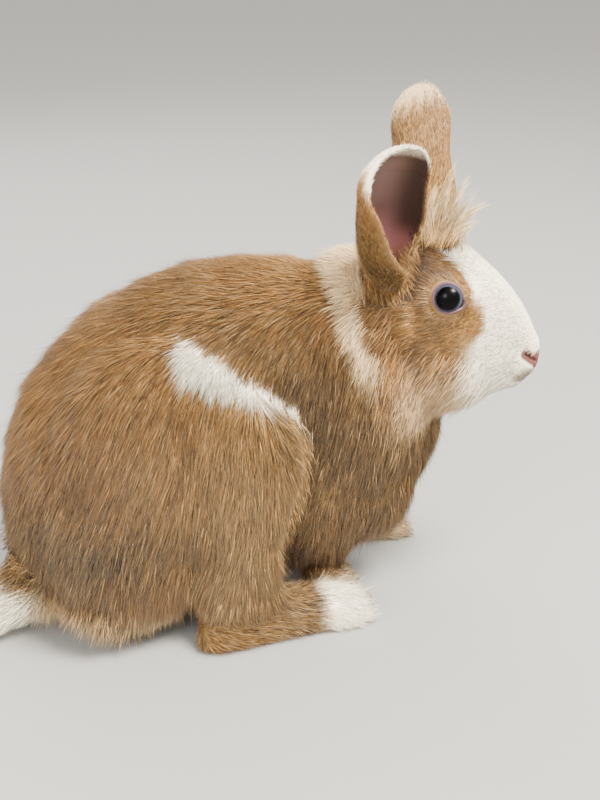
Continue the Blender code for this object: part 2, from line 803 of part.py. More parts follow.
def foreleg_region(name, margin):
    """Below the breast, round the forearm and paw."""
    joints = FORE_LEGS[name]
    side = side_of(joints)
    middle = joints[2][0]
    outline = [
        (middle - 13.0 - margin, -5.0),
        (middle + 24.0 + margin, -5.0),
        (middle + 24.0 + margin, 33.0 + margin),
        (middle - 13.0 - margin, 33.0 + margin),
    ]
    return prism(outline, side * (1.0 - margin), side * 60.0)


def clear_of(obj, neighbours, solver="EXACT"):
    """Cuts obj back until it keeps the gap to each neighbour."""
    for neighbour in neighbours:
        cutter = grown(neighbour, GAP * 1.15)
        boolean(obj, cutter, "DIFFERENCE", solver)
        remove(cutter)
    return largest_surface(obj)


def above_floor(obj):
    block = half_space((0.0, 0.0, 0.0), (0.0, 0.0, 1.0))
    boolean(obj, block, "INTERSECT")
    remove(block)
    return largest_surface(obj)


def add_coat(nodes, neck, torso, whole, plain_head):
    """Gives the head its fringe and tuft and the neck its mane, each clear of the other."""
    flesh = [torso, neck, nodes["head"], nodes["haunch_right"], nodes["haunch_left"]]
    drape = drape_over(*flesh)
    fringe = fringe_stations(nodes["head"], drape)
    mane = mane_stations(whole, drape)
    fat_head = add_locks(grown(plain_head, GAP * 1.15), fringe, grow=GAP * 1.3)
    remove(whole, plain_head)
    nodes["head"] = add_locks(nodes["head"], fringe + tuft_stations())
    neck = add_locks(neck, mane)
    boolean(neck, fat_head, "DIFFERENCE", "MANIFOLD")
    remove(fat_head)
    nodes["neck"] = clear_of(neck, [torso], "MANIFOLD")


def build():
    clear_scene()
    nodes = {}

    head_whole = head_form()
    head, scrap = part_at(head_whole, *HEAD_SEAM)
    remove(scrap)
    head = largest_surface(head)
    plain_head = copy_of(head, "plain_head")
    nodes["head"] = cut_face(head)

    body = body_form()
    for side, word in ((-1, "right"), (1, "left")):
        name = "haunch_" + word
        nodes[name] = haunch(name, side)
    for name, joints in FORE_LEGS.items():
        taken, body = carve(body, lambda margin: foreleg_region(name, margin))
        nodes[name] = largest_surface(taken)
    body = clear_of(body, [nodes["haunch_right"], nodes["haunch_left"], nodes["head"]])
    whole = copy_of(body, "whole")
    neck_and_more, torso = part_at(body, *NECK_SEAM)
    front, neck = part_at(neck_and_more, *HEAD_SEAM)
    remove(front)
    neck = largest_surface(neck)
    torso = largest_surface(above_floor(torso))
    add_coat(nodes, neck, torso, whole, plain_head)

    nodes["tail"] = above_floor(tail())
    nodes["tail"] = clear_of(nodes["tail"], [torso, nodes["haunch_right"], nodes["haunch_left"]])
    for side, word in ((-1, "right"), (1, "left")):
        foot = hind_foot("hind_foot_" + word, side)
        top, foot = part_at(foot, (0.0, 0.0, 29.0 - SEAM), (0.0, 0.0, 1.0))
        remove(top)
        touching = [torso, nodes["haunch_" + word], nodes["fore_leg_" + word]]
        nodes["hind_foot_" + word] = clear_of(above_floor(foot), touching)
    for name, joints in FORE_LEGS.items():
        word = "left" if side_of(joints) > 0 else "right"
        paw = fore_paw("fore_paw_" + word, joints)
        top, paw = part_at(paw, (0.0, 0.0, 15.0), (0.0, 0.0, 1.0))
        remove(top)
        leg, scrap = part_at(nodes[name], (0.0, 0.0, 15.0), (0.0, 0.0, 1.0))
        remove(scrap)
        nodes[name] = largest_surface(leg)
        nodes["fore_paw_" + word] = above_floor(paw)
    nodes["torso"] = torso

    for name in EARS:
        shell = ear(name)
        nodes[name] = clear_of(shell, [nodes["head"], nodes["neck"]])
    for side, word in ((-1, "right"), (1, "left")):
        nodes["eye_" + word] = eyeball("eye_" + word, side, EYE_RADIUS)
    return nodes


def name_and_place(nodes):
    """Names the nodes, paints them and puts the origin under the middle of the whole."""
    corners = [v.co for obj in nodes.values() for v in obj.data.vertices]
    middle = Vector(
        (
            (min(c.x for c in corners) + max(c.x for c in corners)) / 2,
            (min(c.y for c in corners) + max(c.y for c in corners)) / 2,
            min(c.z for c in corners),
        )
    )
    fawn = finish_material("fawn_coat", (0.46, 0.28, 0.14), 0.9)
    cream = finish_material("cream_coat", (0.78, 0.66, 0.50), 0.9)
    white = finish_material("white_coat", (0.86, 0.82, 0.74), 0.9)
    dark = finish_material("eye", (0.02, 0.02, 0.03), 0.1)
    paints = {"neck": cream, "tail": white, "eye_right": dark, "eye_left": dark}
    for name, obj in nodes.items():
        obj.name = name
        obj.data.name = name
        obj.data.transform(Matrix.Translation(-middle))
        obj.data.materials.clear()
        obj.data.materials.append(paints.get(name, fawn))
        obj.data.shade_smooth()
        obj.data.set_sharp_from_angle(angle=math.radians(45))
    print("origin shifted by", tuple(round(c / MM, 3) for c in middle))
    for name, obj in sorted(nodes.items()):
        print(name, sum(len(p.vertices) - 2 for p in obj.data.polygons), "triangles")


name_and_place(build())
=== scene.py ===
# %% [markdown]
# # A lionhead rabbit, sitting
#
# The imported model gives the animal's places and sizes. Here it gets a skin without seams, a coat of
# short and long hair, eyes, ears, a nose, whiskers and claws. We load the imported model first,
# because every piece is placed from it, and we note how much room it takes.

# %% Load the frame
import math

import bmesh
import bpy
import numpy as np
from mathutils import Matrix, Vector
from mathutils.bvhtree import BVHTree


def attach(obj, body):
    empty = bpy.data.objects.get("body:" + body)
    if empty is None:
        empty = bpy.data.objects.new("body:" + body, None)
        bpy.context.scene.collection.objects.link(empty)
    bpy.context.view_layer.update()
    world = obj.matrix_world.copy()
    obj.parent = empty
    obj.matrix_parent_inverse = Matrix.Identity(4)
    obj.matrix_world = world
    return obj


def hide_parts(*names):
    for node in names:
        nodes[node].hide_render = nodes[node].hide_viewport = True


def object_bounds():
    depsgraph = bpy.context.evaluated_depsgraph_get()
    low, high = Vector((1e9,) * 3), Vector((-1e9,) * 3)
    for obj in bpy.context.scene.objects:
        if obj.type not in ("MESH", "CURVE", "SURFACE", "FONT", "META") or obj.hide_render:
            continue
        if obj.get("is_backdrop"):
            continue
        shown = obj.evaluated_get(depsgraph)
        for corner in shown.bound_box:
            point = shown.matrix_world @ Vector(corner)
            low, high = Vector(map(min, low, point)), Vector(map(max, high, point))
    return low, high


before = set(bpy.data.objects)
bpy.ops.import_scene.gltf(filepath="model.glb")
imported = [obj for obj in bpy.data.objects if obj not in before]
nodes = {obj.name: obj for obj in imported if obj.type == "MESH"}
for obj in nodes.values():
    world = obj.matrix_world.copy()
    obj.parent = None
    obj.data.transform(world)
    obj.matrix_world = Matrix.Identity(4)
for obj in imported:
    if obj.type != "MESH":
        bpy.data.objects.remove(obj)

MM = 0.001
cad_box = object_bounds()
rng = np.random.default_rng(11)
print("nodes:", len(nodes), "room:", [[round(c, 3) for c in corner] for corner in cad_box])

# %% [markdown]
# ## Two rulers
#
# A rabbit that turns its head is easiest to describe with two rulers. Body sizes are millimetres
# along the spine, and head sizes are millimetres in the head's own direction: forward, to the
# animal's left, and up. One matrix for each ruler carries a point to the model's place.

# %% Body ruler and head ruler
BODY_AT = 30.43
HEAD_PIVOT = 24.0
HEAD_TURN = math.radians(34.0)
BODY = Matrix.Translation((BODY_AT, 0.0, 0.0))
HEAD = BODY @ Matrix.Translation((HEAD_PIVOT, 0.0, 0.0)) @ Matrix.Rotation(-HEAD_TURN, 4, "Z")
HEAD_INTO_WORLD = np.array(HEAD.to_3x3())


def body_ruler(points):
    """Points in metres, read on the body's ruler in millimetres."""
    return points / MM - np.array([BODY_AT, 0.0, 0.0])


def head_ruler(points):
    """Points in metres, read on the head's ruler in millimetres."""
    moved = body_ruler(points) - np.array([HEAD_PIVOT, 0.0, 0.0])
    return moved @ HEAD_INTO_WORLD


def ease(value, low, high):
    """Rises smoothly from 0 at low to 1 at high."""
    t = np.clip((value - low) / (high - low), 0.0, 1.0)
    return t * t * (3.0 - 2.0 * t)


def unit(vectors):
    """Directions of length 1."""
    return vectors / np.maximum(np.linalg.norm(vectors, axis=-1, keepdims=True), 1e-9)


def hill(*values):
    """1 where every value is 0, falling off smoothly all round."""
    return np.exp(-sum(v ** 2 for v in values))


print("the head is turned by", round(math.degrees(HEAD_TURN)), "degrees")

# %% [markdown]
# ## Forms under the skin
#
# An animal's body is a barrel with rounded masses on it. The barrel and the skull are lofted, which
# means that a skin is laid over a row of outlines. The masses, such as cheeks and shoulders, are
# balls that are stretched and turned. They overlap, and are melted together later.

# %% Outlines of the trunk and the skull
TRUNK = [
    (-137, 42, 70, 12), (-131, 26, 94, 27), (-121, 15, 115, 38), (-106, 10, 131, 46),
    (-88, 9, 146, 50), (-66, 9, 157, 52), (-44, 10, 164, 49), (-22, 12, 165, 44),
    (0, 13, 163, 41), (18, 17, 157, 39), (33, 24, 147, 36), (45, 36, 134, 31),
    (55.5, 50, 119, 25), (63, 63, 105, 17), (67, 73, 94, 9),
]
SKULL = [
    (6, 124, 150, 12), (12, 112, 161, 20), (20, 103, 168, 23.5), (30, 98, 171.5, 24.5),
    (40, 96.5, 173, 24), (50, 97.5, 171.5, 21.5), (57, 99.5, 167, 18.5), (64, 103, 161.5, 15),
    (70, 106.5, 155, 12), (75, 110.5, 148, 9.8), (79, 114, 141, 8.2), (82, 117, 134.5, 6.6),
    (84.2, 121, 130, 4),
]
# Foot, tip, bow, and which way the opening looks at the foot and at the tip
EARS = {
    "right": (
        (18.5, -15.5, 156.0), (32.3, -38.6, 216.6), (-3.5, 0, 0), (3.0, -1.0, 0), (0.75, -1.0, 0.1),
    ),
    "left": (
        (25.0, 15.0, 160.0), (21.0, 30.6, 230.8), (-1.0, 0, 0), (2.0, 1.0, 0), (0.3, 1.0, 0.1),
    ),
}


def new_object(name, data):
    obj = bpy.data.objects.new(name, data)
    bpy.context.scene.collection.objects.link(obj)
    return obj


def mesh_object(name, points, faces):
    mesh = bpy.data.meshes.new(name)
    mesh.from_pydata(points, [], faces)
    return new_object(name, mesh)


def face_outwards(obj):
    """Turns the faces of a closed shell outwards."""
    shape = bmesh.new()
    shape.from_mesh(obj.data)
    bmesh.ops.recalc_face_normals(shape, faces=shape.faces)
    if shape.calc_volume(signed=True) < 0:
        bmesh.ops.reverse_faces(shape, faces=shape.faces)
    shape.to_mesh(obj.data)
    shape.free()


def ring_faces(rings, sides, closed=False):
    """Faces between rings of points. closed joins the last ring to the first."""
    faces = []
    for r in range(rings if closed else rings - 1):
        here, ahead = r * sides, (r + 1) % rings * sides
        for i in range(sides):
            j = (i + 1) % sides
            faces.append((here + i, here + j, ahead + j, ahead + i))
    return faces


def outline(station, power, widest, sides=36):
    """A rounded outline at one place along the body, widest at a share of its height."""
    place, low, high, half_width = station
    middle = low + (high - low) * widest
    turn = 2 * math.pi * np.arange(sides) / sides
    across = half_width * np.sign(np.cos(turn)) * np.abs(np.cos(turn)) ** (2 / power)
    reach = np.where(np.sin(turn) > 0, high - middle, middle - low)
    up = reach * np.sign(np.sin(turn)) * np.abs(np.sin(turn)) ** (2 / power)
    return [(place, a, middle + u) for a, u in zip(across, up)]


def lofted(name, rings, place):
    """A closed skin over rings with equal numbers of points."""
    sides = len(rings[0])
    points = [place @ Vector(p) * MM for ring in rings for p in ring]
    faces = ring_faces(len(rings), sides)
    faces += [tuple(reversed(range(sides))), tuple(range(len(points) - sides, len(points)))]
    obj = mesh_object(name, points, faces)
    face_outwards(obj)
    return obj


trunk = lofted("trunk", [outline(s, 2.35, 0.43) for s in TRUNK], BODY)
skull = lofted("skull", [outline(s, 2.15, 0.40) for s in SKULL], HEAD)
print("lofted the trunk and the skull")

# %% Stretched balls for shoulders, neck, cheeks, brows and lips


def ball(centre, radii, place, turn=(0, 0, 0)):
    bpy.ops.object.select_all(action="DESELECT")
    bpy.ops.mesh.primitive_uv_sphere_add(segments=28, ring_count=16, radius=1.0)
    obj = bpy.context.object
    spin = Matrix.Identity(4)
    for axis, angle in zip("XYZ", turn):
        spin = Matrix.Rotation(math.radians(angle), 4, axis) @ spin
    shaped = Matrix.Translation(centre) @ spin @ Matrix.Diagonal((*radii, 1.0))
    obj.data.transform(Matrix.Scale(MM, 4) @ place @ shaped)
    return obj


def row_of_balls(start, end, count, place):
    """Balls close enough to melt into a limb. start and end are x, y, z and radius."""
    made = []
    for t in np.linspace(0.0, 1.0, count):
        x, y, z, r = (a + (b - a) * t for a, b in zip(start, end))
        made.append(ball((x, y, z), (r, r, r), place))
    return made


in_body = BODY.inverted() @ HEAD @ Vector((22.0, 0.0, 136.0))
forms = [trunk, skull]
forms += row_of_balls((2, 0, 121, 39), (20, -2, 127, 35), 3, BODY)
forms += row_of_balls((20, -2, 127, 35), (*in_body, 28.5), 3, BODY)
forms.append(ball((50, -4, 89), (17, 22, 23), BODY))
for side in (-1, 1):
    forms += [
        ball((22, side * 21, 94), (34, 23, 50), BODY, (0, 12, 0)),
        ball((30, side * 17, 58), (23, 18, 31), BODY),
        ball((36, side * 12, 122), (20.5, 13, 20), HEAD),
        ball((47, side * 11, 151.5), (13, 10, 12.5), HEAD),
        ball((73, side * 4.7, 121.6), (8.8, 5.8, 7), HEAD, (0, 35, side * -12)),
        ball((22, side * 13, 157.5), (9, 8.5, 9), HEAD),
    ]
forms.append(ball((77, 0, 129.5), (7.6, 6, 7.4), HEAD, (0, 30, 0)))
forms.append(ball((73.5, 0, 113.8), (7, 5.2, 4.8), HEAD, (0, -35, 0)))
print("balls and lofts:", len(forms))

# %% [markdown]
# ## One skin
#
# Haunches, legs, feet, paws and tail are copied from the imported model, so that they stay exactly
# where they are. Each copy is swollen a little to close the thin cuts between the nodes. Then all
# the forms are joined, and a voxel remesh melts them into one skin with no seam.

# %% Melt the forms into one skin
SWELL = 0.3 * MM
SKIN_VOXEL = 1.32 * MM
LIMBS = [
    "haunch_right", "haunch_left", "hind_foot_right", "hind_foot_left",
    "fore_leg_right", "fore_leg_left", "fore_paw_right", "fore_paw_left", "tail",
]
for name in LIMBS:
    twin = new_object("form_" + name, nodes[name].data.copy())
    twin.data.transform(nodes[name].matrix_world)
    twin.data.materials.clear()
    swell = twin.modifiers.new("swell", "DISPLACE")
    swell.strength, swell.mid_level = SWELL, 0.0
    bpy.context.view_layer.objects.active = twin
    bpy.ops.object.modifier_apply(modifier="swell")
    forms.append(twin)

bpy.ops.object.select_all(action="DESELECT")
for form in forms:
    form.select_set(True)
bpy.context.view_layer.objects.active = trunk
bpy.ops.object.join()
skin = bpy.context.object
skin.name = "skin"
melt = skin.modifiers.new("melt", "REMESH")
melt.mode, melt.voxel_size = "VOXEL", SKIN_VOXEL
calm = skin.modifiers.new("calm", "SMOOTH")
calm.factor, calm.iterations = 0.5, 9
for step in ("melt", "calm"):
    bpy.ops.object.modifier_apply(modifier=step)
print("skin faces:", len(skin.data.polygons))

# %% [markdown]
# ## Room for the coat
#
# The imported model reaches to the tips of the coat, so the skin is drawn in by the coat's depth:
# deep on the body, shallow on face and feet, and almost nothing at the bare nose.

# %% Draw the skin in
EYE_AT = np.array([[47.0, -15.6, 152.0], [47.0, 15.6, 152.0]])
EYE_RADIUS = 7.1
NECK_CUT = np.array([15.0, 0.0, 140.0])
CUT_LOOKS = np.array([0.93, 0.0, 0.36])


def past_neck(h):
    """Millimetres in front of the slanting cut between neck and head."""
    return (h - NECK_CUT) @ CUT_LOOKS


def on_head(points):
    """1 on the head, 0 on the body."""
    h = head_ruler(points)
    return ease(past_neck(h), -3.0, 3.0) * ease(h[:, 2], 95.0, 102.0)


def on_tail(points):
    """1 on the tail."""
    p = body_ruler(points)
    return ease(-p[:, 0], 118, 128) * ease(-p[:, 2], -44, -36)


def on_foot(points):
    """1 on the four feet, 0 above the ankles."""
    p = body_ruler(points)
    hind = ease(p[:, 0], -62, -56) * ease(-p[:, 2], -32, -20) * ease(np.abs(p[:, 1]), 28, 33)
    fore = ease(p[:, 0], -8, -4) * ease(-p[:, 2], -17, -13) * ease(-np.abs(p[:, 1]), -38, -33)
    return np.maximum(hind, fore)


def coat_depth(points):
    """How far the skin lies below the tips, in millimetres."""
    h = head_ruler(points)
    head = 1.5 - 1.3 * ease(h[:, 0], 60, 80)
    depth = 3.0 + 1.8 * on_tail(points)
    depth = depth + (1.1 - depth) * on_foot(points)
    return depth + (head - depth) * on_head(points)


def mesh_numbers(obj, what):
    """The places or normals of a mesh's points: what is co or normal."""
    flat = np.empty(len(obj.data.vertices) * 3)
    obj.data.vertices.foreach_get(what, flat)
    return flat.reshape(-1, 3)


def set_points(obj, points):
    obj.data.vertices.foreach_set("co", np.ascontiguousarray(points).ravel())
    obj.data.update()


def distance_to_line(points, line):
    """Distance of each point to a line of straight lengths."""
    nearest = np.full(len(points), 1e9)
    for a, b in zip(np.array(line)[:-1], np.array(line)[1:]):
        share = np.clip((points - a) @ (b - a) / ((b - a) @ (b - a)), 0.0, 1.0)
        away = np.linalg.norm(points - (a + share[:, None] * (b - a)), axis=1)
        nearest = np.minimum(nearest, away)
    return nearest


def distance_to_lines(points, lines):
    """Distance of each point to the nearest of several lines."""
    return np.minimum.reduce([distance_to_line(points, line) for line in lines])


THIGH_EDGE = [
    (-17, 30), (-16, 45), (-14, 56), (-9, 70), (-6.5, 80), (-7, 92), (-10, 103), (-18, 114),
    (-26, 122), (-34, 131), (-44, 139),
]


def side_distance(p, line):
    """Millimetres, seen from the side, to a line of places forward and up on the body's ruler."""
    flat = np.stack([p[:, 0], np.zeros(len(p)), p[:, 2]], axis=1)
    return distance_to_line(flat, [(x, 0.0, z) for x, z in line])


def thigh_edge_distance(points, shift):
    """Millimetres, seen from the side, to the thigh's front edge moved forwards by shift."""
    line = [(x + shift, z + 0.4 * shift) for x, z in THIGH_EDGE]
    return side_distance(body_ruler(points), line)


points = mesh_numbers(skin, "co")
p = body_ruler(points)
outer = ease(np.abs(p[:, 1]), 22, 34)
groove = outer * ease(-p[:, 2], -126, -108) * hill(thigh_edge_distance(points, 4.0) / 5.5)
depth = coat_depth(points) + 3.0 * groove
waist = hill((p[:, 2] - 58) / 10) * ease(-p[:, 0], 12, 22) * ease(p[:, 0], -80, -60)
depth = depth - 2.2 * waist * ease(np.abs(p[:, 1]), 42, 50)
set_points(skin, points - mesh_numbers(skin, "normal") * depth[:, None] * MM)
settle = skin.modifiers.new("settle", "SMOOTH")
settle.factor, settle.iterations = 0.5, 5
bpy.ops.object.modifier_apply(modifier="settle")
print("drawn in by up to", round(float(coat_depth(points).max()), 1), "mm")

# %% [markdown]
# ## Nose and mouth
#
# The nostrils of a rabbit are two slits that meet in a V, with a cleft below them down to the lip.
# The skin is too coarse for them, so the faces round the muzzle are subdivided first, and the
# points near each line are then pressed in.

# %% Subdivide the muzzle and press in the lines
# Forward, to the left and up on the head's ruler
SLIT = [(85.0, 0.6, 122.6), (84.2, 3.2, 123.6), (82.4, 5.4, 125.2), (79.6, 7.0, 127.6)]
CLEFT = [(85.0, 0.0, 122.2), (83.8, 0.0, 119.5), (81.6, 0.0, 115.8)]
LIP = [(81.6, 0.0, 115.6), (79.4, 4.4, 113.6), (76.0, 7.6, 112.0), (71.0, 9.6, 110.5)]
DEEPEST = 1.4


def mirrored(line):
    return [(x, -y, z) for x, y, z in line]


SLITS = [mirrored(SLIT), SLIT]
LIPS = [CLEFT, mirrored(LIP), LIP]
# Lines, depth and width
PRESSED = [(SLITS, 1.2, 0.62), (LIPS[:1], 0.8, 0.5), (LIPS[1:], 0.8, 0.55)]

shape = bmesh.new()
shape.from_mesh(skin.data)
centres = head_ruler(np.array([f.calc_center_median() for f in shape.faces]))
muzzle = (centres[:, 0] > 72) & (centres[:, 2] > 106) & (centres[:, 2] < 136)
shape.faces.ensure_lookup_table()
edges = {e for i in np.nonzero(muzzle)[0] for e in shape.faces[int(i)].edges}
bmesh.ops.subdivide_edges(shape, edges=list(edges), cuts=2, use_grid_fill=True, smooth=0.6)
bmesh.ops.triangulate(shape, faces=[f for f in shape.faces if len(f.verts) > 4])
shape.to_mesh(skin.data)
shape.free()

points = mesh_numbers(skin, "co")
normals = mesh_numbers(skin, "normal")
at = head_ruler(points)
press = np.zeros(len(points))
for lines, depth, width in PRESSED:
    for line in lines:
        press += depth * hill(distance_to_line(at, line) / width)
set_points(skin, points - normals * np.minimum(press, DEEPEST)[:, None] * MM)
skin.data.shade_smooth()
print("skin triangles:", sum(len(p.vertices) - 2 for p in skin.data.polygons))

# %% [markdown]
# ## The skin as numbers
#
# The coat has to know the skin below it: where a hair is rooted, which way is out, and where that
# root lies on an unwrap of the skin. The unwrap is made once, by Smart UV Project.

# %% Unwrap the skin and read it
bpy.ops.object.select_all(action="DESELECT")
skin.select_set(True)
bpy.context.view_layer.objects.active = skin
skin.data.uv_layers.new(name="OFBake")
bpy.ops.object.mode_set(mode="EDIT")
bpy.ops.mesh.select_all(action="SELECT")
bpy.ops.uv.smart_project(angle_limit=math.radians(70), island_margin=0.003)
bpy.ops.object.mode_set(mode="OBJECT")


def read_surface(obj):
    """Points, normals, triangles and the unwrap of a mesh."""
    mesh = obj.data
    mesh.calc_loop_triangles()
    count = len(mesh.loop_triangles)
    triangles, loops = np.empty(count * 3, dtype=np.int32), np.empty(count * 3, dtype=np.int32)
    mesh.loop_triangles.foreach_get("vertices", triangles)
    mesh.loop_triangles.foreach_get("loops", loops)
    flat = np.empty(len(mesh.loops) * 2)
    mesh.uv_layers["OFBake"].data.foreach_get("uv", flat)
    triangles = triangles.reshape(-1, 3)
    return {
        "points": mesh_numbers(obj, "co"),
        "normals": mesh_numbers(obj, "normal"),
        "triangles": triangles,
        "unwrap": flat.reshape(-1, 2)[loops].reshape(-1, 3, 2),
    }


def scatter(surface, count, weight):
    """Random roots on a surface, more where weight is high: places, outward directions, unwrap."""
    corners = surface["points"][surface["triangles"]]
    area = np.linalg.norm(np.cross(corners[:, 1] - corners[:, 0], corners[:, 2] - corners[:, 0]), axis=1)
    share = area * weight(corners.mean(axis=1))
    pick = rng.choice(len(share), size=count, p=share / share.sum())
    a, b = rng.random(count), rng.random(count)
    a, b = np.where(a + b > 1, 1 - a, a), np.where(a + b > 1, 1 - b, b)
    mix = np.stack([1 - a - b, a, b], axis=1)[:, :, None]
    places = (corners[pick] * mix).sum(axis=1)
    out = unit((surface["normals"][surface["triangles"][pick]] * mix).sum(axis=1))
    return places, out, (surface["unwrap"][pick] * mix).sum(axis=1)


skin_surface = read_surface(skin)
skin_tree = BVHTree.FromPolygons(
    [Vector(p) for p in skin_surface["points"]], [tuple(t) for t in skin_surface["triangles"]]
)
print("skin read:", len(skin_surface["triangles"]), "triangles")

# %% [markdown]
# ## Markings
#
# This animal is fawn with a white blaze, muzzle and toes, a cream collar, a white patch on the
# thigh, and a pale tail. Each marking is a rule about a place on one of the two rulers. A few rules
# also paint shade in hollows, round the mouth and low on the rump, and a highlight along the thighs.
# Skin and hair ask the same rules, so they always agree.

# %% Colours of the coat
FAWN = np.array([0.318, 0.148, 0.035])
RUST = np.array([0.280, 0.123, 0.026])
GREY = np.array([0.108, 0.065, 0.021])
BUFF = np.array([0.445, 0.259, 0.089])
CREAM = np.array([0.73, 0.525, 0.295])
WHITE = np.array([0.99, 0.885, 0.69])
STRAW = np.array([0.66, 0.43, 0.18])
PINK = np.array([0.38, 0.135, 0.115])
MAUVE = np.array([0.115, 0.058, 0.054])
ROSE = np.array([0.27, 0.112, 0.118])
DARK = np.array([0.030, 0.018, 0.014])

waves = rng.normal(size=(14, 3))
phases = rng.uniform(0, 2 * math.pi, size=14)


def drift(points, size):
    """A slow random value of about -1 to 1 that changes over about size millimetres."""
    angle = points / MM @ waves.T * (2.2 / size) + phases
    return np.sin(angle).sum(axis=1) / 5.0


def blend(colours, other, share):
    return colours + (other - colours) * np.clip(share, 0, 1)[:, None]


BLAZE_FORWARD = [34, 38, 40, 44, 48, 52, 55, 58, 63, 70]
BLAZE_WIDTH = [-3, 1.0, 4.5, 7.5, 9.3, 11, 13.5, 14.3, 15, 16]
WHITE_UP = [95, 101, 110, 117, 123, 127, 132, 135, 137, 140, 147, 154, 160]
WHITE_FORWARD = [62, 61, 59.5, 58, 57.5, 57.5, 58.5, 60, 62, 63, 61.2, 58.8, 56]


def face_white(h):
    """The blaze and the white of the muzzle, from places on the head's ruler."""
    ragged = 0.5 * np.sin(h[:, 2] * 1.9) + 0.5 * np.sin(h[:, 0] * 2.3 + 1.0)
    top = ease(np.interp(h[:, 0], BLAZE_FORWARD, BLAZE_WIDTH) - np.abs(h[:, 1]) + ragged, -0.8, 0.8)
    top *= ease(h[:, 2], 146, 156)
    soft = 0.8 + 4.5 * ease(-h[:, 2], -138, -120)
    side = (h[:, 0] - np.interp(h[:, 2], WHITE_UP, WHITE_FORWARD) + ragged) / soft
    return np.maximum(top, ease(side, -1.0, 1.0))


THIGH_PATCH = [(-54, 135), (-46, 131), (-33, 123), (-18, 113), (-8, 103), (-3, 94)]
PATCH_AT = [-62, -54, -46, -33, -18, -8, -3]
PATCH_WIDTH = [5.0, 6.2, 6.6, 4.2, 2.4, 0.6, -0.6]


def thigh_white(p):
    """A pale patch along the top of each thigh, clearest on the right one."""
    wide = np.interp(p[:, 0], PATCH_AT, PATCH_WIDTH) + 1.7 * drift(p * MM, 2.2)
    near = ease(wide - side_distance(p, THIGH_PATCH), -1.2, 1.2)
    return near * ease(np.abs(p[:, 1]), 20, 30)


def collar(points):
    """The cream band behind ears and cheeks."""
    h, p = head_ruler(points), body_ruler(points)
    back = past_neck(h)
    nape = ease(p[:, 2], 152, 168)
    ragged = 1.6 * drift(points, 4.0)
    band = ease(back + ragged, -7 - 8 * nape, -3 - 6 * nape) * ease(-back, -3.5, -1.0)
    return band * ease(p[:, 2] + 2 * ragged, 118, 132)


def eye_distances(h):
    """Millimetres to the middle of the right and the left eye."""
    return np.linalg.norm(h[:, None, :] - EYE_AT[None], axis=2)


def coat_colour(points):
    """The coat's colour, painted shade and highlight at places in metres, before changes from hair to hair.
    """
    p, h = body_ruler(points), head_ruler(points)
    x, wide, z = p[:, 0], np.abs(p[:, 1]), p[:, 2]
    ahead, up = h[:, 0], h[:, 2]
    head, foot = on_head(points), on_foot(points)
    body = 1 - head
    slow = drift(points, 26.0)
    # Painted shade: the flank is darker in the hollow just in front of each thigh's edge.
    valley_shade = hill(thigh_edge_distance(points, 9.0) / 9.0) * ease(wide, 20, 32)
    thigh = hill((x + 34) / 32, (z - 60) / 46) * ease(wide, 28, 42)
    # Painted highlight: a lighter band just behind each thigh's front edge.
    edge = hill(thigh_edge_distance(points, -4.0) / 5.0) * ease(wide, 24, 36)
    jaw = ease(-up, -132, -108) * ease(ahead, 22, 40)
    cheek = np.maximum(jaw, ease(ahead, 50, 58) * ease(-up, -140, -126))
    brow = ease(up, 140, 155) * ease(ahead, 8, 20) * ease(-ahead, -52, -40)
    eye = eye_distances(h).min(axis=1)
    # Painted shade on the chin, below the nose.
    chin_shade = np.linalg.norm((h - np.array([79.0, 0.0, 118.0])) / np.array([5.0, 9.0, 4.5]), axis=1)
    zones = [
        (RUST, 0.55 * ease(z, 110, 160) * body),
        (GREY, 0.42 * ease(x, -32, 2) * ease(-z, -160, -118) * body),
        # Painted shade in the hollow in front of the thigh.
        (GREY * 0.8, 0.62 * valley_shade * body),
        # Painted shade: the low rear of the rump is darker.
        (GREY, 0.55 * ease(-x, 60, 115) * ease(-z, -100, -55)),
        (BUFF * 1.14, 0.92 * thigh * body),
        (GREY, 0.30 * np.clip(slow, 0, 1) * body),
        (BUFF, 0.30 * np.clip(-slow, 0, 1)),
        # Painted highlight along the thigh's front edge.
        (BUFF * 1.1, 0.6 * edge * body),
        (CREAM, 0.70 * ease(-z, -32, -16) * ease(-x, 30, 55) * (1 - foot)),
        (WHITE, 0.97 * thigh_white(p)),
        (CREAM, 0.95 * collar(points)),
        # Painted shade: a dark band across the lower rump, behind the thigh.
        (GREY, 0.82 * hill((x + 92) / 34, (z - 60) / 12) * body),
        (GREY, 0.42 * foot),
        (CREAM, 0.65 * head * cheek),
        (GREY, 0.45 * ease(-z, -118, -98) * ease(x, 2, 18) * body),
        (FAWN * 0.52, 0.90 * head * brow),
        (WHITE, head * face_white(h)),
        (CREAM, 0.36 * head * ease(-eye, -8.9, -7.4)),
        # Painted shade on the chin.
        (GREY * 1.3, 0.65 * head * ease(-chin_shade, -1.3, -0.7)),
        # Painted shade along the lines of the mouth.
        (GREY, 0.80 * head * ease(-distance_to_lines(h, LIPS), -3.2, -0.6)),
        (WHITE, foot * ease(x, -5, 2) * ease(wide, 26, 34)),
        (CREAM * 0.85, 0.8 * foot * ease(-z, -15, -9) * ease(-wide, -36, -32)),
        (WHITE, 0.95 * on_tail(points) * ease(-z, -31, -22)),
    ]
    colour = FAWN * ((1 + 0.10 * drift(points, 5.0)) * (1 + 0.26 * drift(points, 1.7)))[:, None]
    for tone, share in zones:
        colour = blend(colour, tone, share)
    return colour


def in_ear(points):
    """1 on the skin closed in by the foot of an ear."""
    h = head_ruler(points)
    away = np.full(len(h), 99.0)
    for foot, tip, _, low, _ in EARS.values():
        rise = unit(np.array(tip) - np.array(foot))
        middle = foot + 2.4 * unit(np.array(low, dtype=float))
        away = np.minimum(away, distance_to_line(h, [middle - rise, middle + rise * 16]))
    return ease(-away, -7.6, -6.8)


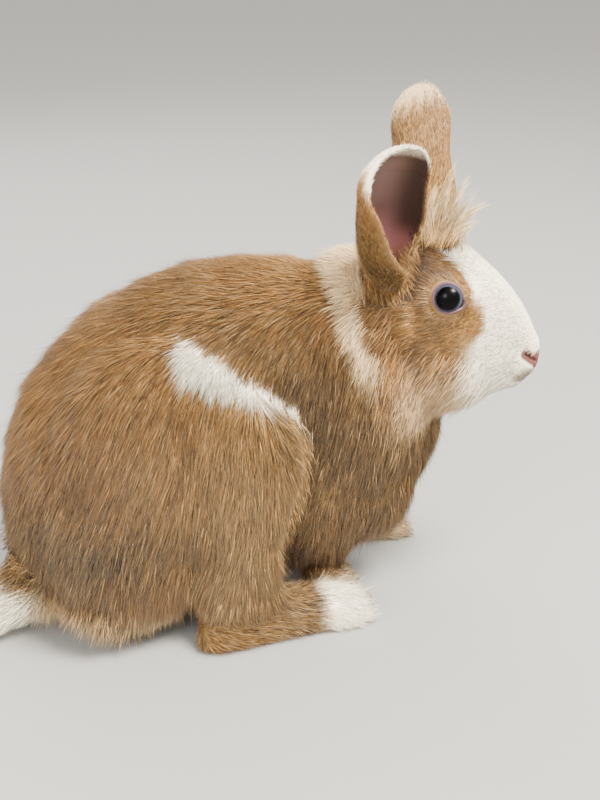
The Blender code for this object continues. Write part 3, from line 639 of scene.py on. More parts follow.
def nose_share(points):
    """1 on the bare pink nose between the slits."""
    h = head_ruler(points)
    up = h[:, 2]
    slits = distance_to_lines(h, SLITS)
    bridge = distance_to_line(h, [(85.0, 0.0, 123.0), (84.8, 0.0, 125.6)])
    lobes = np.abs(h[:, 1]) < np.interp(up, [119.5, 121.5, 125.0, 128.2], [1.8, 4.6, 6.4, 4.2])
    lobes = lobes & (h[:, 0] > 79.2) & (up > 119.5) & (up < 128.2)
    return np.maximum.reduce([ease(-slits, -3.0, -2.0), ease(-bridge, -2.8, -1.8), lobes * 1.0])


crown = np.array([HEAD @ Vector((30, 12, 168))]) * MM
print("coat colour at the crown:", coat_colour(crown).round(2))

# %% [markdown]
# ## Paint the skin
#
# The skin shows between hairs, so it takes the coat's colours darkened as painted shade. The colours
# are stored on its points as an attribute, and a node material reads them and adds a fine grain like
# close-lying hair.

# %% Skin colours and material


def paint(obj, colours):
    """Stores a colour for each point of a mesh."""
    layer = obj.data.color_attributes.new(name="coat", type="FLOAT_COLOR", domain="POINT")
    four = np.concatenate([np.clip(colours, 0, 1), np.ones((len(colours), 1))], axis=1)
    layer.data.foreach_set("color", four.ravel())


def new_material(name, sockets):
    """A material, its nodes and its shader, with the shader's sockets set."""
    material = bpy.data.materials.new(name)
    material.use_nodes = True
    shader = material.node_tree.nodes["Principled BSDF"]
    for socket, value in sockets.items():
        shader.inputs[socket].default_value = value
    return material, material.node_tree, shader


def add_node(tree, kind, **sockets):
    node = tree.nodes.new("ShaderNode" + kind)
    for socket, value in sockets.items():
        node.inputs[socket].default_value = value
    return node


def painted_material(name, roughness, specular, sheen=0.0, grain=0.0, grain_size=900.0):
    """A material that takes its colour from the points, with an optional fine bump."""
    material, tree, shader = new_material(name, {
        "Roughness": roughness, "Specular IOR Level": specular,
        "Sheen Weight": sheen, "Sheen Roughness": 0.5,
    })
    colour = add_node(tree, "Attribute")
    colour.attribute_name = "coat"
    tree.links.new(colour.outputs["Color"], shader.inputs["Base Color"])
    if grain:
        where = add_node(tree, "TexCoord")
        noise = add_node(tree, "TexNoise", Scale=grain_size, Detail=4.0)
        bump = add_node(tree, "Bump", Strength=grain, Distance=0.0004)
        tree.links.new(where.outputs["Object"], noise.inputs["Vector"])
        tree.links.new(noise.outputs["Fac"], bump.inputs["Height"])
        tree.links.new(bump.outputs["Normal"], shader.inputs["Normal"])
    return material


places = skin_surface["points"]
h = head_ruler(places)
skin_colour = coat_colour(places)
# Painted shade: the skin between the hairs is darker than the coat, most under dark coat, least under white.
skin_colour *= np.interp(skin_colour.mean(axis=1), [0.2, 0.7], [0.62, 0.95])[:, None]
bare_zones = [
    (PINK * 0.45, in_ear(places)),
    (PINK * 0.38, nose_share(places)),
    # Painted shade: dark along the nostril slits.
    (DARK, 0.95 * ease(-distance_to_lines(h, SLITS), -0.95, -0.50)),
    # Darker pink along the lip lines: partly the lips' own skin, partly painted shade in the grooves.
    (PINK * 0.25, 0.9 * ease(-distance_to_lines(h, LIPS), -0.9, -0.4)),
]
for tone, share in bare_zones:
    skin_colour = blend(skin_colour, tone, share)
paint(skin, skin_colour)
skin.data.materials.clear()
skin.data.materials.append(painted_material("skin_under_coat", 0.75, 0.2, grain=0.5))
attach(skin, "root")
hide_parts("head", "neck", "torso", *LIMBS)
print("painted", len(skin_colour), "points")

# %% [markdown]
# ## The lie of the coat
#
# Hair points away from the nose, runs back along the spine, fans down over the rump, and hangs
# down on chest, thighs and legs. On the feet it runs towards the toes. One rule gives this
# direction anywhere, and each hair then lays it flat on the skin below its root.

# %% Direction of the hair


def lay_down(way, out, share=1.0):
    """Directions laid along the skin, all the way or by a share."""
    return unit(way - out * (way * out).sum(axis=1, keepdims=True) * share)


def lie_of(points, out):
    p, h = body_ruler(points), head_ruler(points)
    x, wide, z = p[:, 0], np.abs(p[:, 1]), p[:, 2]
    up = h[:, 2]
    way = np.tile([-1.0, 0.0, -0.25], (len(points), 1))
    way = way + ease(-x, 45, 120)[:, None] * np.array([0.55, 0.0, -1.0])
    way[:, 2] -= 1.15 * ease(-z, -160, -118)
    thigh = ease(-z, -136, -100) * ease(wide, 22, 36) * ease(x, -95, -50)
    turns = [
        ((-0.16, 0.0, -1.0), 0.9 * thigh),
        ((-0.28, 0.0, -1.0), ease(x, -30, 8) * ease(-z, -156, -128)),
        ((-0.05, 0.0, -1.0), ease(-z, -44, -28)),
        ((1.0, 0.0, -0.15), on_foot(points) * ease(-z, -26, -14)),
        ((-1.0, -0.35, -0.25), on_tail(points)),
    ]
    for turn, share in turns:
        way = blend(way, np.array(turn), share)
    face = np.tile([-1.0, 0.0, 0.0], (len(points), 1))
    face[:, 2] -= 0.75 * ease(-up, -140, -112) + 0.25 * ease(-up, -155, -140)
    face[:, 2] -= 0.5 * ease(-h[:, 0], -38, -20) * ease(-up, -158, -140)
    face[:, 1] += 0.15 * np.sign(h[:, 1])
    from_eye = h - EYE_AT[np.argmin(eye_distances(h), axis=1)]
    ring = np.exp(-((np.linalg.norm(from_eye, axis=1) / 10.5) ** 4))
    face = face + unit(from_eye) * (1.1 * ring)[:, None]
    way = blend(way, face @ HEAD_INTO_WORLD.T, on_head(points))
    turn_a, turn_b = drift(points, 9.0), drift(points + 0.37, 9.0)
    swirl = np.stack([turn_a * 0.16, turn_b * 0.16, (turn_a - turn_b) * 0.10], axis=1)
    return lay_down(unit(way) + swirl + rng.normal(scale=0.075, size=way.shape), out)


on_back = lie_of(np.array([[0.0, 0.0, 0.165]]), np.array([[0.0, 0.0, 1.0]]))
print("the coat at the middle of the back runs", on_back.round(2))

# %% [markdown]
# ## A tuft
#
# A tuft is a few hairs that keep together: widest near its root and pointed at its tip. It has a
# flat section of three sides, so it is a closed solid of very few triangles: four when it is
# straight. Thousands are written into one mesh with arrays, which is far quicker than adding
# objects. Each tuft keeps a small patch of the unwrap at its root's place.

# %% Write many tufts into one mesh
PATCH = 0.003
OFF_THE_FLOOR = 0.0003


def tufts(name, stations, width, out, colours, unwrap, profile, thick=0.4):
    """Closed tufts. stations and colours are arrays of tufts, places and 3, from root to tip."""
    count, places = stations.shape[:2]
    along = unit(np.gradient(stations, axis=1))
    across = unit(np.cross(along, out[:, None, :]))
    above = np.cross(across, along)
    per = 3 * (places - 1) + 1
    points, paintwork, patch = np.empty((count, per, 3)), np.empty((count, per, 3)), np.empty((per, 2))
    for k in range(places - 1):
        a = 3 * k
        half = (width * profile[k] / 2)[:, None]
        side, up = across[:, k] * half, above[:, k] * half * thick
        points[:, a] = stations[:, k] + side - up * 0.4
        points[:, a + 1] = stations[:, k] - side - up * 0.4
        points[:, a + 2] = stations[:, k] + up
        paintwork[:, a:a + 3] = colours[:, k][:, None, :]
        share = k / (places - 1)
        patch[a:a + 3] = [(0.0, share), (1.0, share), (0.5, share + 0.08)]
    points[:, -1], paintwork[:, -1], patch[-1] = stations[:, -1], colours[:, -1], (0.5, 1.0)
    faces = [(0, 2, 1)]
    for a in range(0, per - 4, 3):
        for i, j in ((0, 1), (1, 2), (2, 0)):
            faces += [(a + i, a + j, a + j + 3), (a + i, a + j + 3, a + i + 3)]
    last = per - 1
    faces += [(last - 3, last - 2, last), (last - 2, last - 1, last), (last - 1, last - 3, last)]
    faces = np.array(faces)
    points[:, :, 2] = np.maximum(points[:, :, 2], OFF_THE_FLOOR)
    corner = (faces[None] + (np.arange(count) * per)[:, None, None]).reshape(-1)
    mesh = bpy.data.meshes.new(name)
    mesh.vertices.add(count * per)
    mesh.vertices.foreach_set("co", points.reshape(-1))
    mesh.loops.add(len(corner))
    mesh.loops.foreach_set("vertex_index", corner.astype(np.int32))
    mesh.polygons.add(len(corner) // 3)
    mesh.polygons.foreach_set("loop_start", np.arange(0, len(corner), 3, dtype=np.int32))
    layer = mesh.uv_layers.new(name="OFBake")
    spread = ((patch - 0.5) * PATCH)[faces.reshape(-1)][None]
    layer.data.foreach_set("uv", (np.clip(unwrap, PATCH, 1 - PATCH)[:, None, :] + spread).reshape(-1))
    mesh.update(calc_edges=True)
    mesh.shade_smooth()
    obj = new_object(name, mesh)
    paint(obj, paintwork.reshape(-1, 3))
    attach(obj, "root")
    return obj


# How much the hairs of dark and of pale coat differ, and how much darker their roots are: partly
# the coat's own darker base, partly painted shade deep in the coat
DARK_AND_PALE = [0.2, 0.65]
LIVELY = [1.0, 0.20]
ROOT_TONE_AND_SHADE = [0.50, 0.92]
TIP_GAIN = 1.22
SPREAD = 0.46
DARK_SHARE, DARK_GAIN = 0.20, 0.30
BRIGHT_SHARE, BRIGHT_BLEND = 0.22, 0.50


def ticked(colour, contrast=1.0, stations=2):
    """Changes colours hair to hair and root to tip, as on a wild-coloured coat; dark roots add painted
    shade.
    """
    count = len(colour)
    pale = colour.mean(axis=1)
    lively = contrast * np.interp(pale, DARK_AND_PALE, LIVELY)
    mixed = colour * np.exp(rng.normal(scale=SPREAD, size=count) * lively)[:, None]
    pick = rng.random(count)
    dark = pick < DARK_SHARE * lively
    bright = (pick > 1 - BRIGHT_SHARE * lively) & (pale > 0.05)
    mixed[dark] *= DARK_GAIN
    mixed[bright] = mixed[bright] + (STRAW - mixed[bright]) * BRIGHT_BLEND
    # Roots darker than tips: the coat's own base and painted shade.
    root = np.interp(pale, DARK_AND_PALE, ROOT_TONE_AND_SHADE)
    shades = [mixed * (root + (TIP_GAIN - root) * t)[:, None] for t in np.linspace(0, 1, stations)]
    return np.clip(np.stack(shades, axis=1), 0.0, 0.97)


fur = painted_material("coat_hair", 0.6, 0.22, sheen=0.10)
pieces_of_coat = []


def straight(places, out, way, length, lift=0.0, depth=0.3):
    """Stations of straight hairs, from below the skin to the tip. Sizes are in millimetres."""
    tip = places + (way + out * np.reshape(lift, (-1, 1))) * (length * MM)[:, None]
    return np.stack([places - out * (depth * MM), tip], axis=1)


def coat_piece(name, stations, width, out, colours, unwrap, profile=(1.0,)):
    """Writes one piece of coat. Widths are in millimetres."""
    obj = tufts(name, stations, width * MM, out, colours, unwrap, profile)
    obj.data.materials.append(fur)
    pieces_of_coat.append(obj)


print("a straight tuft has 4 triangles, and one of 4 places has 16")

# %% [markdown]
# ## Short coat
#
# Most of the coat is short and lies flat. Length, width and lift change smoothly over the animal:
# finest and shortest on the face and feet, longest low on the body. Each mesh stays small enough
# to handle, so the body is covered in several pieces.

# %% Sow the short coat
BODY_HAIRS, HEAD_HAIRS, FACE_HAIRS, FOOT_HAIRS = 43500, 36000, 36000, 13000
STRAY_SHARE, STRAY_LIFT = 0.05, 2.4
amount = 1.0


def bare(points):
    """1 where no hair grows: the nose, the lips' edges, the eyes and inside the ears."""
    h = head_ruler(points)
    eyes = (eye_distances(h).min(axis=1) < EYE_RADIUS + 0.1) * 1.0
    lips = (distance_to_lines(h, LIPS) < 0.45) * 1.0
    return np.maximum.reduce([nose_share(points), eyes, lips, in_ear(points)])


def sow(count, weight):
    """Roots on the skin. weight is 0 where none grow."""
    return scatter(skin_surface, int(count * amount), lambda q: weight(q) + 1e-9)


def sizes(count, low, high):
    """Random sizes, or factors for the sizes of hairs."""
    return rng.uniform(low, high, count)


def short_coat(name, count, weight):
    """Sows one piece of the short coat on the skin."""
    places, out, unwrap = sow(count, weight)
    keep = bare(places) < 0.5
    places, out, unwrap = places[keep], out[keep], unwrap[keep]
    count = len(places)
    head, foot, h = on_head(places), on_foot(places), head_ruler(places)
    length = 9.8 + 1.6 * drift(places, 30.0) + 2.0 * ease(-body_ruler(places)[:, 2], -70, -30)
    length = length + (5.5 - length) * foot
    length = length + (2.6 + 6.0 * ease(-h[:, 0], -60, -30) - length) * head
    length *= 1 - 0.45 * head * ease(-distance_to_lines(h, LIPS), -3.5, -1.5)
    length *= sizes(count, 0.75, 1.25)
    width = 0.34 - 0.08 * head
    width *= sizes(count, 0.65, 1.35)
    lift = 0.22 + (0.15 - 0.05 * ease(h[:, 0], 50, 62) - 0.22) * head + 0.16 * foot
    lift *= sizes(count, 0.5, 1.4) * np.where(rng.random(count) < STRAY_SHARE * (1 - head), STRAY_LIFT, 1.0)
    way = lie_of(places, out)
    stations = straight(places, out, way, length, lift)
    coat_piece(name, stations, width, out, ticked(coat_colour(places)), unwrap)


def body_share(low, high):
    """Grows on the body between two places along it, thinly on feet and tail."""
    def weight(points):
        x = body_ruler(points)[:, 0]
        inside = (x > low) & (x <= high)
        return inside * (1 - on_head(points)) * (1 - 0.98 * on_foot(points)) * (1 - 0.9 * on_tail(points))
    return weight


def head_share(points):
    return on_head(points) * (head_ruler(points)[:, 0] <= 48)


def face_share(points):
    return on_head(points) * (head_ruler(points)[:, 0] > 48)


lengthwise = (("rump", -200, -92), ("thigh", -92, -52), ("flank", -52, -12), ("shoulder", -12, 120))
for part, low, high in lengthwise:
    short_coat("coat_" + part, BODY_HAIRS, body_share(low, high))
short_coat("coat_head", HEAD_HAIRS, head_share)
short_coat("coat_face", FACE_HAIRS, face_share)
short_coat("coat_feet", FOOT_HAIRS, on_foot)
print("short coat pieces:", len(pieces_of_coat))

# %% [markdown]
# ## Long coat
#
# A lionhead is named for its mane. Long hair doesn't keep flat on the skin, and can't be straight:
# it starts along the lie, follows the body below it, and hangs a little. Each lock is walked over
# the skin step by step, and is pushed out wherever it would sink in.

# %% Walk the long hair over the skin
MANE_LOCKS, CHEEK_LOCKS, TAIL_LOCKS, SKIRT_LOCKS, THIGH_LOCKS = 4600, 5600, 3000, 5600, 2000


def walk(places, out, way, length, cling, lift, droop, steps=4):
    """Stations of long locks. cling pulls a lock to the skin, and droop bends it down."""
    stations = np.empty((len(places), steps, 3))
    stations[:, 0] = places - out * 0.8 * MM
    down = Vector((0.0, 0.0, -1.0))
    for i in range(len(places)):
        here, heading = Vector(places[i]), Vector(way[i])
        step = length[i] * MM / (steps - 1)
        for k in range(1, steps):
            share = k / (steps - 1)
            heading = (heading + down * droop[i] * share).normalized()
            here = here + heading * step
            below, normal, _, _ = skin_tree.find_nearest(here)
            height = (here - below).dot(normal)
            wanted = (0.5 + lift[i] * math.sin(share * 2.2)) * MM
            here = here + normal * max(wanted - height, 0.0)
            if height > wanted:
                here = here - normal * (height - wanted) * cling[i]
            heading = heading - normal * heading.dot(normal) * cling[i]
            stations[i, k] = here
    return stations


def long_coat(name, sown, way, length, width, cling, lift, droop, colour, contrast=1.0):
    """Grows one piece of long coat from what sow gave. Sizes are in millimetres."""
    places, out, unwrap = sown
    count = len(places)
    length = length * sizes(count, 0.7, 1.12) * (1 + 0.12 * drift(places, 5.0))
    full = np.ones(count)
    stations = walk(places, out, way, length, cling * full, lift * sizes(count, 0.4, 1.5), droop * full)
    colours = ticked(colour, contrast, stations=4)
    coat_piece(name, stations, width * sizes(count, 0.6, 1.4), out, colours, unwrap, (0.8, 1.0, 0.62))


def around_neck(places, out):
    """Direction of the mane: backwards at the nape, and down at the sides and the throat."""
    low = ease(-body_ruler(places)[:, 2], -166, -112)
    back = -unit(CUT_LOOKS) @ HEAD_INTO_WORLD.T
    way = back[None] * (1 - 0.72 * low)[:, None] + np.array([0.0, 0.0, -1.0]) * (0.10 + 1.1 * low)[:, None]
    return lay_down(unit(way) + rng.normal(scale=0.13, size=way.shape), out, 0.8)


def mane_place(points):
    """Behind the ears and the cheeks, thinner below."""
    z = body_ruler(points)[:, 2]
    back = past_neck(head_ruler(points))
    nape = ease(z, 152, 168)
    thin = 0.25 + 0.75 * ease(z, 112, 132)
    return ease(back, -8 - 6 * nape, -4 - 5 * nape) * ease(-back, -4.0, -1.5) * ease(z, 70, 100) * thin


sown = sow(MANE_LOCKS, mane_place)
places, out = sown[:2]
height = body_ruler(places)[:, 2]
fade = ease(height + 6 * drift(places, 4.0), 124, 150)
nape = ease(height, 150, 166)
long_coat(
    "coat_mane", sown, around_neck(places, out), length=11.5 + 8.0 * nape + 5.0 * (1 - fade), width=0.31,
    cling=0.50 - 0.45 * nape, lift=2.0 + 3.6 * nape, droop=0.06,
    colour=blend(coat_colour(places), CREAM * 1.12, 0.05 + 0.90 * fade), contrast=0.9,
)
print("mane locks:", len(places))

# %% Cheek fringe


def cheek_place(points):
    """The lower cheeks and under the jaw, and a few behind the cheeks."""
    h = head_ruler(points)
    low = ease(-h[:, 2], -134, -112) * ease(-h[:, 0], -68, -56)
    rear = ease(-h[:, 0], -34, -22) * ease(-h[:, 2], -156, -146)
    return on_head(points) * np.maximum(low, 0.3 * rear)


sown = sow(CHEEK_LOCKS, cheek_place)
places, out = sown[:2]
h = head_ruler(places)
way = np.tile([-0.62, 0.0, -0.80], (len(places), 1))
way[:, 2] -= 0.4 * ease(-h[:, 2], -120, -104)
way[:, 1] += 0.10 * np.sign(h[:, 1])
way = lay_down(unit(way) @ HEAD_INTO_WORLD.T + rng.normal(scale=0.12, size=way.shape), out, 0.85)
pale = ease(-h[:, 2], -128, -108) * ease(h[:, 0], 26, 42) * (1 - face_white(h))
long_coat(
    "coat_cheeks", sown, way, length=11.0 + 6.5 * ease(-h[:, 2], -130, -108) - 5.0 * ease(h[:, 0], 56, 68),
    width=0.30, cling=0.10, lift=1.6, droop=0.16,
    colour=blend(coat_colour(places), CREAM, 0.35 * pale), contrast=0.65,
)
print("cheek locks:", len(places))

# %% [markdown]
# ## Forehead tuft and tail
#
# The tuft between the ears is a handful of wisps that rise, lean forwards and fan out. Each wisp is
# a curve through a root, a knee and a tip, and its hairs start together and part towards the end.

# %% Forehead tuft
WISPS = [
    ((35.0, -4.0, 170.0), (37.5, -6.0, 196.0)),
    ((37.0, 0.0, 170.5), (44.0, -1.0, 205.0)),
    ((39.0, 4.5, 170.0), (40.0, 8.0, 193.0)),
    ((40.0, -3.0, 170.0), (50.5, -4.0, 200.0)),
    ((41.0, -4.5, 170.0), (54.0, -4.0, 194.0)),
    ((42.0, 1.5, 170.0), (56.5, 3.0, 188.0)),
    ((43.5, -2.5, 169.5), (55.0, -3.0, 182.0)),
    ((44.0, 3.0, 169.5), (50.0, 4.0, 178.0)),
]
WISP_HAIRS = 70
WISP_ROOTS = np.array([(0.58, 0.47, 0.34), (0.75, 0.64, 0.50)])


def from_head(points):
    """Millimetres on the head's ruler as places in the model, in metres."""
    return (points @ HEAD_INTO_WORLD.T + np.array([BODY_AT + HEAD_PIVOT, 0.0, 0.0])) * MM


def skin_near(places):
    """The nearest places on the skin and their places on its unwrap."""
    near = [skin_tree.find_nearest(Vector(place)) for place in places]
    unwrap = [skin_surface["unwrap"][face].mean(axis=0) for _, _, face, _ in near]
    return np.array([place for place, _, _, _ in near]), np.array(unwrap)


hairs = int(WISP_HAIRS * amount)
curves = []
t = np.linspace(0, 1, 6)[None, :, None]
for root, tip in WISPS:
    root, tip = np.array(root), np.array(tip)
    start = root + rng.normal(scale=(2.2, 2.4, 0.3), size=(hairs, 3)) - np.array([0.0, 0.0, 1.5])
    reach = rng.uniform(0.55, 1.06, (hairs, 1))
    end = root + (tip - root) * reach + rng.normal(scale=0.55, size=(hairs, 3))
    end += rng.normal(scale=3.0, size=(hairs, 3)) * (rng.random((hairs, 1)) < 0.15)
    knee = start + (end - start) * 0.5 + np.array([-5.5, 0.0, 4.5]) * reach
    curves.append((1 - t) ** 2 * start[:, None] + 2 * t * (1 - t) * knee[:, None] + t ** 2 * end[:, None])
stations = from_head(np.concatenate(curves))
out = unit(np.tile([0.35, -0.9, 0.2], (len(stations), 1)) @ HEAD_INTO_WORLD.T)
shade = np.tile(CREAM * np.array([0.94, 0.92, 0.84]), (len(stations), 1))
colours = ticked(shade, 1.6, stations=6)
colours[:, :2] *= WISP_ROOTS
wide = 0.22 * sizes(len(stations), 0.6, 1.4)
unwrap = skin_near(stations[:, 0])[1]
coat_piece("coat_forelock", stations, wide, out, colours, unwrap, (1, 1, 0.9, 0.7, 0.45))
print("forelock hairs:", len(stations))

# %% Tail and skirt
sown = sow(TAIL_LOCKS, on_tail)
places, out = sown[:2]
way = np.tile([-0.9, -0.45, -0.30], (len(places), 1)) + rng.normal(scale=0.22, size=(len(places), 3))
long_coat(
    "coat_tail", sown, lay_down(way, out, 0.6), length=14.0, width=0.36, cling=0.3, lift=3.4, droop=0.06,
    colour=coat_colour(places),
)


def skirt_place(points):
    """The lower edge of the rump, thickest beside the tail, and the front of the chest."""
    p = body_ruler(points)
    edge = ease(-p[:, 2], -38, -20) * ease(-p[:, 0], 40, 52) * (1 - on_tail(points))
    edge = edge * (1 + 3.5 * ease(-p[:, 0], 80, 104))
    chest = ease(p[:, 0], 40, 56) * ease(p[:, 2], 44, 60) * 0.4
    return np.maximum(edge, chest) * (1 - on_foot(points)) * (1 - on_head(points))


sown = sow(SKIRT_LOCKS, skirt_place)
places, out = sown[:2]
p = body_ruler(places)
fluff = ease(-p[:, 0], 56, 100) * ease(-p[:, 2], -40, -28)
hang = np.tile([-0.35, 0.0, -0.75], (len(places), 1))
hang[:, 1] = 0.50 * np.sign(p[:, 1])
hang += rng.normal(scale=0.24, size=hang.shape)
way = unit(blend(lie_of(places, out), unit(hang), 0.9 * fluff))
own = blend(coat_colour(places), CREAM, 0.55 * fluff * ease(-p[:, 0], 90, 120) * ease(-p[:, 2], -34, -20))
# Painted shade: the hanging fringe under the rump, in front of the tail, is greyer.
long_coat(
    "coat_skirt", sown, way, length=10.5 + 4.0 * fluff, width=0.30, cling=0.0, lift=1.4, droop=0.05,
    colour=blend(own, GREY * 1.2, 0.55 * fluff * ease(p[:, 0], -108, -80)),
)


def thigh_edge_place(points):
    """A band along the front edge of each thigh."""
    p = body_ruler(points)
    z = p[:, 2]
    band = ease(-thigh_edge_distance(points, -3.0), -4.0, -2.0) * ease(np.abs(p[:, 1]), 26, 36)
    return band * ease(z, 34, 44) * ease(-z, -108, -96)


sown = sow(THIGH_LOCKS, thigh_edge_place)
places, out = sown[:2]
way = np.tile([0.38, 0.0, -1.0], (len(places), 1)) + rng.normal(scale=0.10, size=(len(places), 3))
# The locks along the thigh's edge are painted lighter than the coat below them, as a highlight.
long_coat(
    "coat_thigh_edge", sown, lay_down(way, out), length=11.0, width=0.32, cling=0.3, lift=2.0, droop=0.04,
    colour=coat_colour(places) * 1.12,
)
print("coat pieces:", len(pieces_of_coat))

# %% [markdown]
# ## Ears
#
# An ear is a thin cup of gristle, rolled at its base and open above. It is lofted from crescents
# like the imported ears, but much finer. Its two faces keep two halves of its unwrap, so the inside
# can be bare and pink and the outside furred.

# %% Ear shells
EAR_SHARE = [0, 0.06, 0.13, 0.22, 0.33, 0.46, 0.60, 0.74, 0.86, 0.94, 0.985, 1.0]
EAR_WIDTH = [8.2, 8.8, 10.2, 12.6, 15.0, 16.6, 17.0, 16.4, 14.2, 10.6, 6.4, 2.6]
# Half angle of the cup, on the side towards the rump and on the side towards the nose
EAR_CUP = {
    "right": (
        [150, 155, 158, 153, 141, 127, 121, 116, 102, 78, 52, 40],
        [150, 135, 110, 98, 97, 94, 82, 65, 54, 47, 42, 40],
    ),
    "left": ([165, 163, 158, 142, 120, 98, 78, 64, 54, 47, 42, 40],) * 2,
}
FROST = np.array([0.27, 0.160, 0.145])
FUR_AT = [0.0, 0.15, 0.25, 0.4, 0.6, 0.8, 0.95]
FUR_EDGE = [-0.2, -0.3, -0.4, -0.55, -0.7, -0.8, -0.85]
EAR_ARC = 25
EAR_RING = 2 * EAR_ARC
EAR_LAST = 45
EAR_HAIRS = {"right": 26000, "left": 18000}
EAR_MARGIN, EAR_SPAN = 0.02, 0.96


def ear_share(step):
    """How far along the ear a ring lies. Rings are closer together at the tip."""
    return 1 - (1 - step / EAR_LAST) ** 1.25


def ear_unwrap(u, v):
    """Keeps a narrow margin round the unwrap."""
    return EAR_MARGIN + EAR_SPAN * u, EAR_MARGIN + EAR_SPAN * v


def ear_shell(side):
    """A lofted ear. Its unwrap holds the place along the ear, and the place across on each face."""
    base, tip, bow, low, high = (np.array(v, dtype=float) for v in EARS[side])
    up = unit(tip - base)
    steps = ear_share(np.arange(EAR_LAST + 1))
    steps[-1] = 0.9995
    rows = []
    for share in steps:
        width = np.interp(share, EAR_SHARE, EAR_WIDTH) - 0.35
        rear, cup = (math.radians(np.interp(share, EAR_SHARE, half)) for half in EAR_CUP[side])
        facing = low + (high - low) * min(1.0, 1.25 * share)
        facing = unit(facing - up * (facing @ up))
        across = np.cross(up, facing)
        radius = width / math.sin(min(cup, math.pi / 2))
        spine = base + (tip - base) * share + bow * 4 * share * (1 - share)
        centre = spine + facing * (radius - width * 0.6)
        wall = 1.5 - 0.6 * share
        for way, reach in ((1, radius), (-1, radius - wall)):
            for i in range(EAR_ARC):
                lean = way * (2 * i / (EAR_ARC - 1) - 1)
                turn = lean * (rear if lean < 0 else cup)
                rows.append(centre + (across * math.sin(turn) - facing * math.cos(turn)) * reach)
    ring, last = EAR_RING, EAR_LAST * EAR_RING
    faces = ring_faces(EAR_LAST + 1, ring)
    faces += [tuple(reversed(range(ring))), tuple(range(last, last + ring))]
    unwrap = []
    for v0, v1 in zip(steps[:-1], steps[1:]):
        for i in range(ring):
            u0, u1 = i / ring, (i + 1) / ring
            unwrap += [ear_unwrap(u, v) for u, v in ((u0, v0), (u1, v0), (u1, v1), (u0, v1))]
    around = [ear_unwrap(i / ring, 0)[0] for i in range(ring)]
    unwrap += [(u, 0.005) for u in reversed(around)] + [(u, 0.995) for u in around]
    obj = mesh_object("ear_shell_" + side, [HEAD @ Vector(p) * MM for p in rows], faces)
    obj.data.uv_layers.new(name="OFBake").data.foreach_set("uv", np.array(unwrap).ravel())
    face_outwards(obj)
    obj.data.shade_smooth()
    return obj


def ear_colour(side, inner, share, across):
    """Colours of an ear. across runs from -1 to 1, and 1 is the front edge of the right ear."""
    front = across if side == "right" else -across
    near = 1.0 if side == "right" else 0.0
    pale = CREAM + (WHITE - CREAM) * near
    pale_inside = CREAM + (WHITE * 0.85 - CREAM) * near
    centre = hill((front + 0.05) / 0.42)
    rim_dark = (0.4 + 0.6 * near) * ease(front, 0.30, 0.72)
    rim_dark = rim_dark * ease(share, 0.22, 0.4) * ease(-share, -0.93, -0.85)
    frost = hill((front - 0.05) / 0.35) * ease(share, 0.40, 0.62) * ease(-share, -0.92, -0.80)
    inside_zones = [
        (PINK * 0.55, 0.6 * centre * ease(-share, -0.80, -0.45)),
        (ROSE, ease(-share, -0.52, -0.28)),
        (GREY * 0.9, 0.6 * ease(share, 0.66, 0.82) * (1 - 0.6 * centre)),
        (DARK, 0.9 * rim_dark),
        (FAWN, 0.9 * ease(np.interp(share, FUR_AT, FUR_EDGE) - front, -0.12, 0.06)),
        (FROST, 0.65 * frost),
        (pale_inside, 0.9 * ease(share, 0.74 + 0.12 * near, 0.95)),
    ]
    tip = ease(share - 0.10 * front * (1 - near) + 0.03 * np.sin(across * 19), 0.78, 0.93)
    outside_zones = [
        (GREY, 0.42 * (1 - near) * np.ones(len(share))),
        (GREY, 0.62 * near * ease(-share, -0.86, -0.45)),
        (pale, 0.92 * tip),
    ]
    inside, outside = (np.tile(tone, (len(share), 1)) for tone in (MAUVE, FAWN))
    for tone, part in inside_zones:
        inside = blend(inside, tone, part)
    for tone, part in outside_zones:
        outside = blend(outside, tone, part)
    return np.where(inner[:, None], inside, outside)


def decode(unwrap):
    """Which face of an ear, how far along, and how far across."""
    u, v = ((unwrap - EAR_MARGIN) / EAR_SPAN).T
    inner = u > 0.5
    first = 2 * np.clip(u / 0.5, 0, 1) - 1
    second = 1 - 2 * np.clip((u - 0.5) / 0.5, 0, 1)
    return inner, v, np.where(inner, second, first)


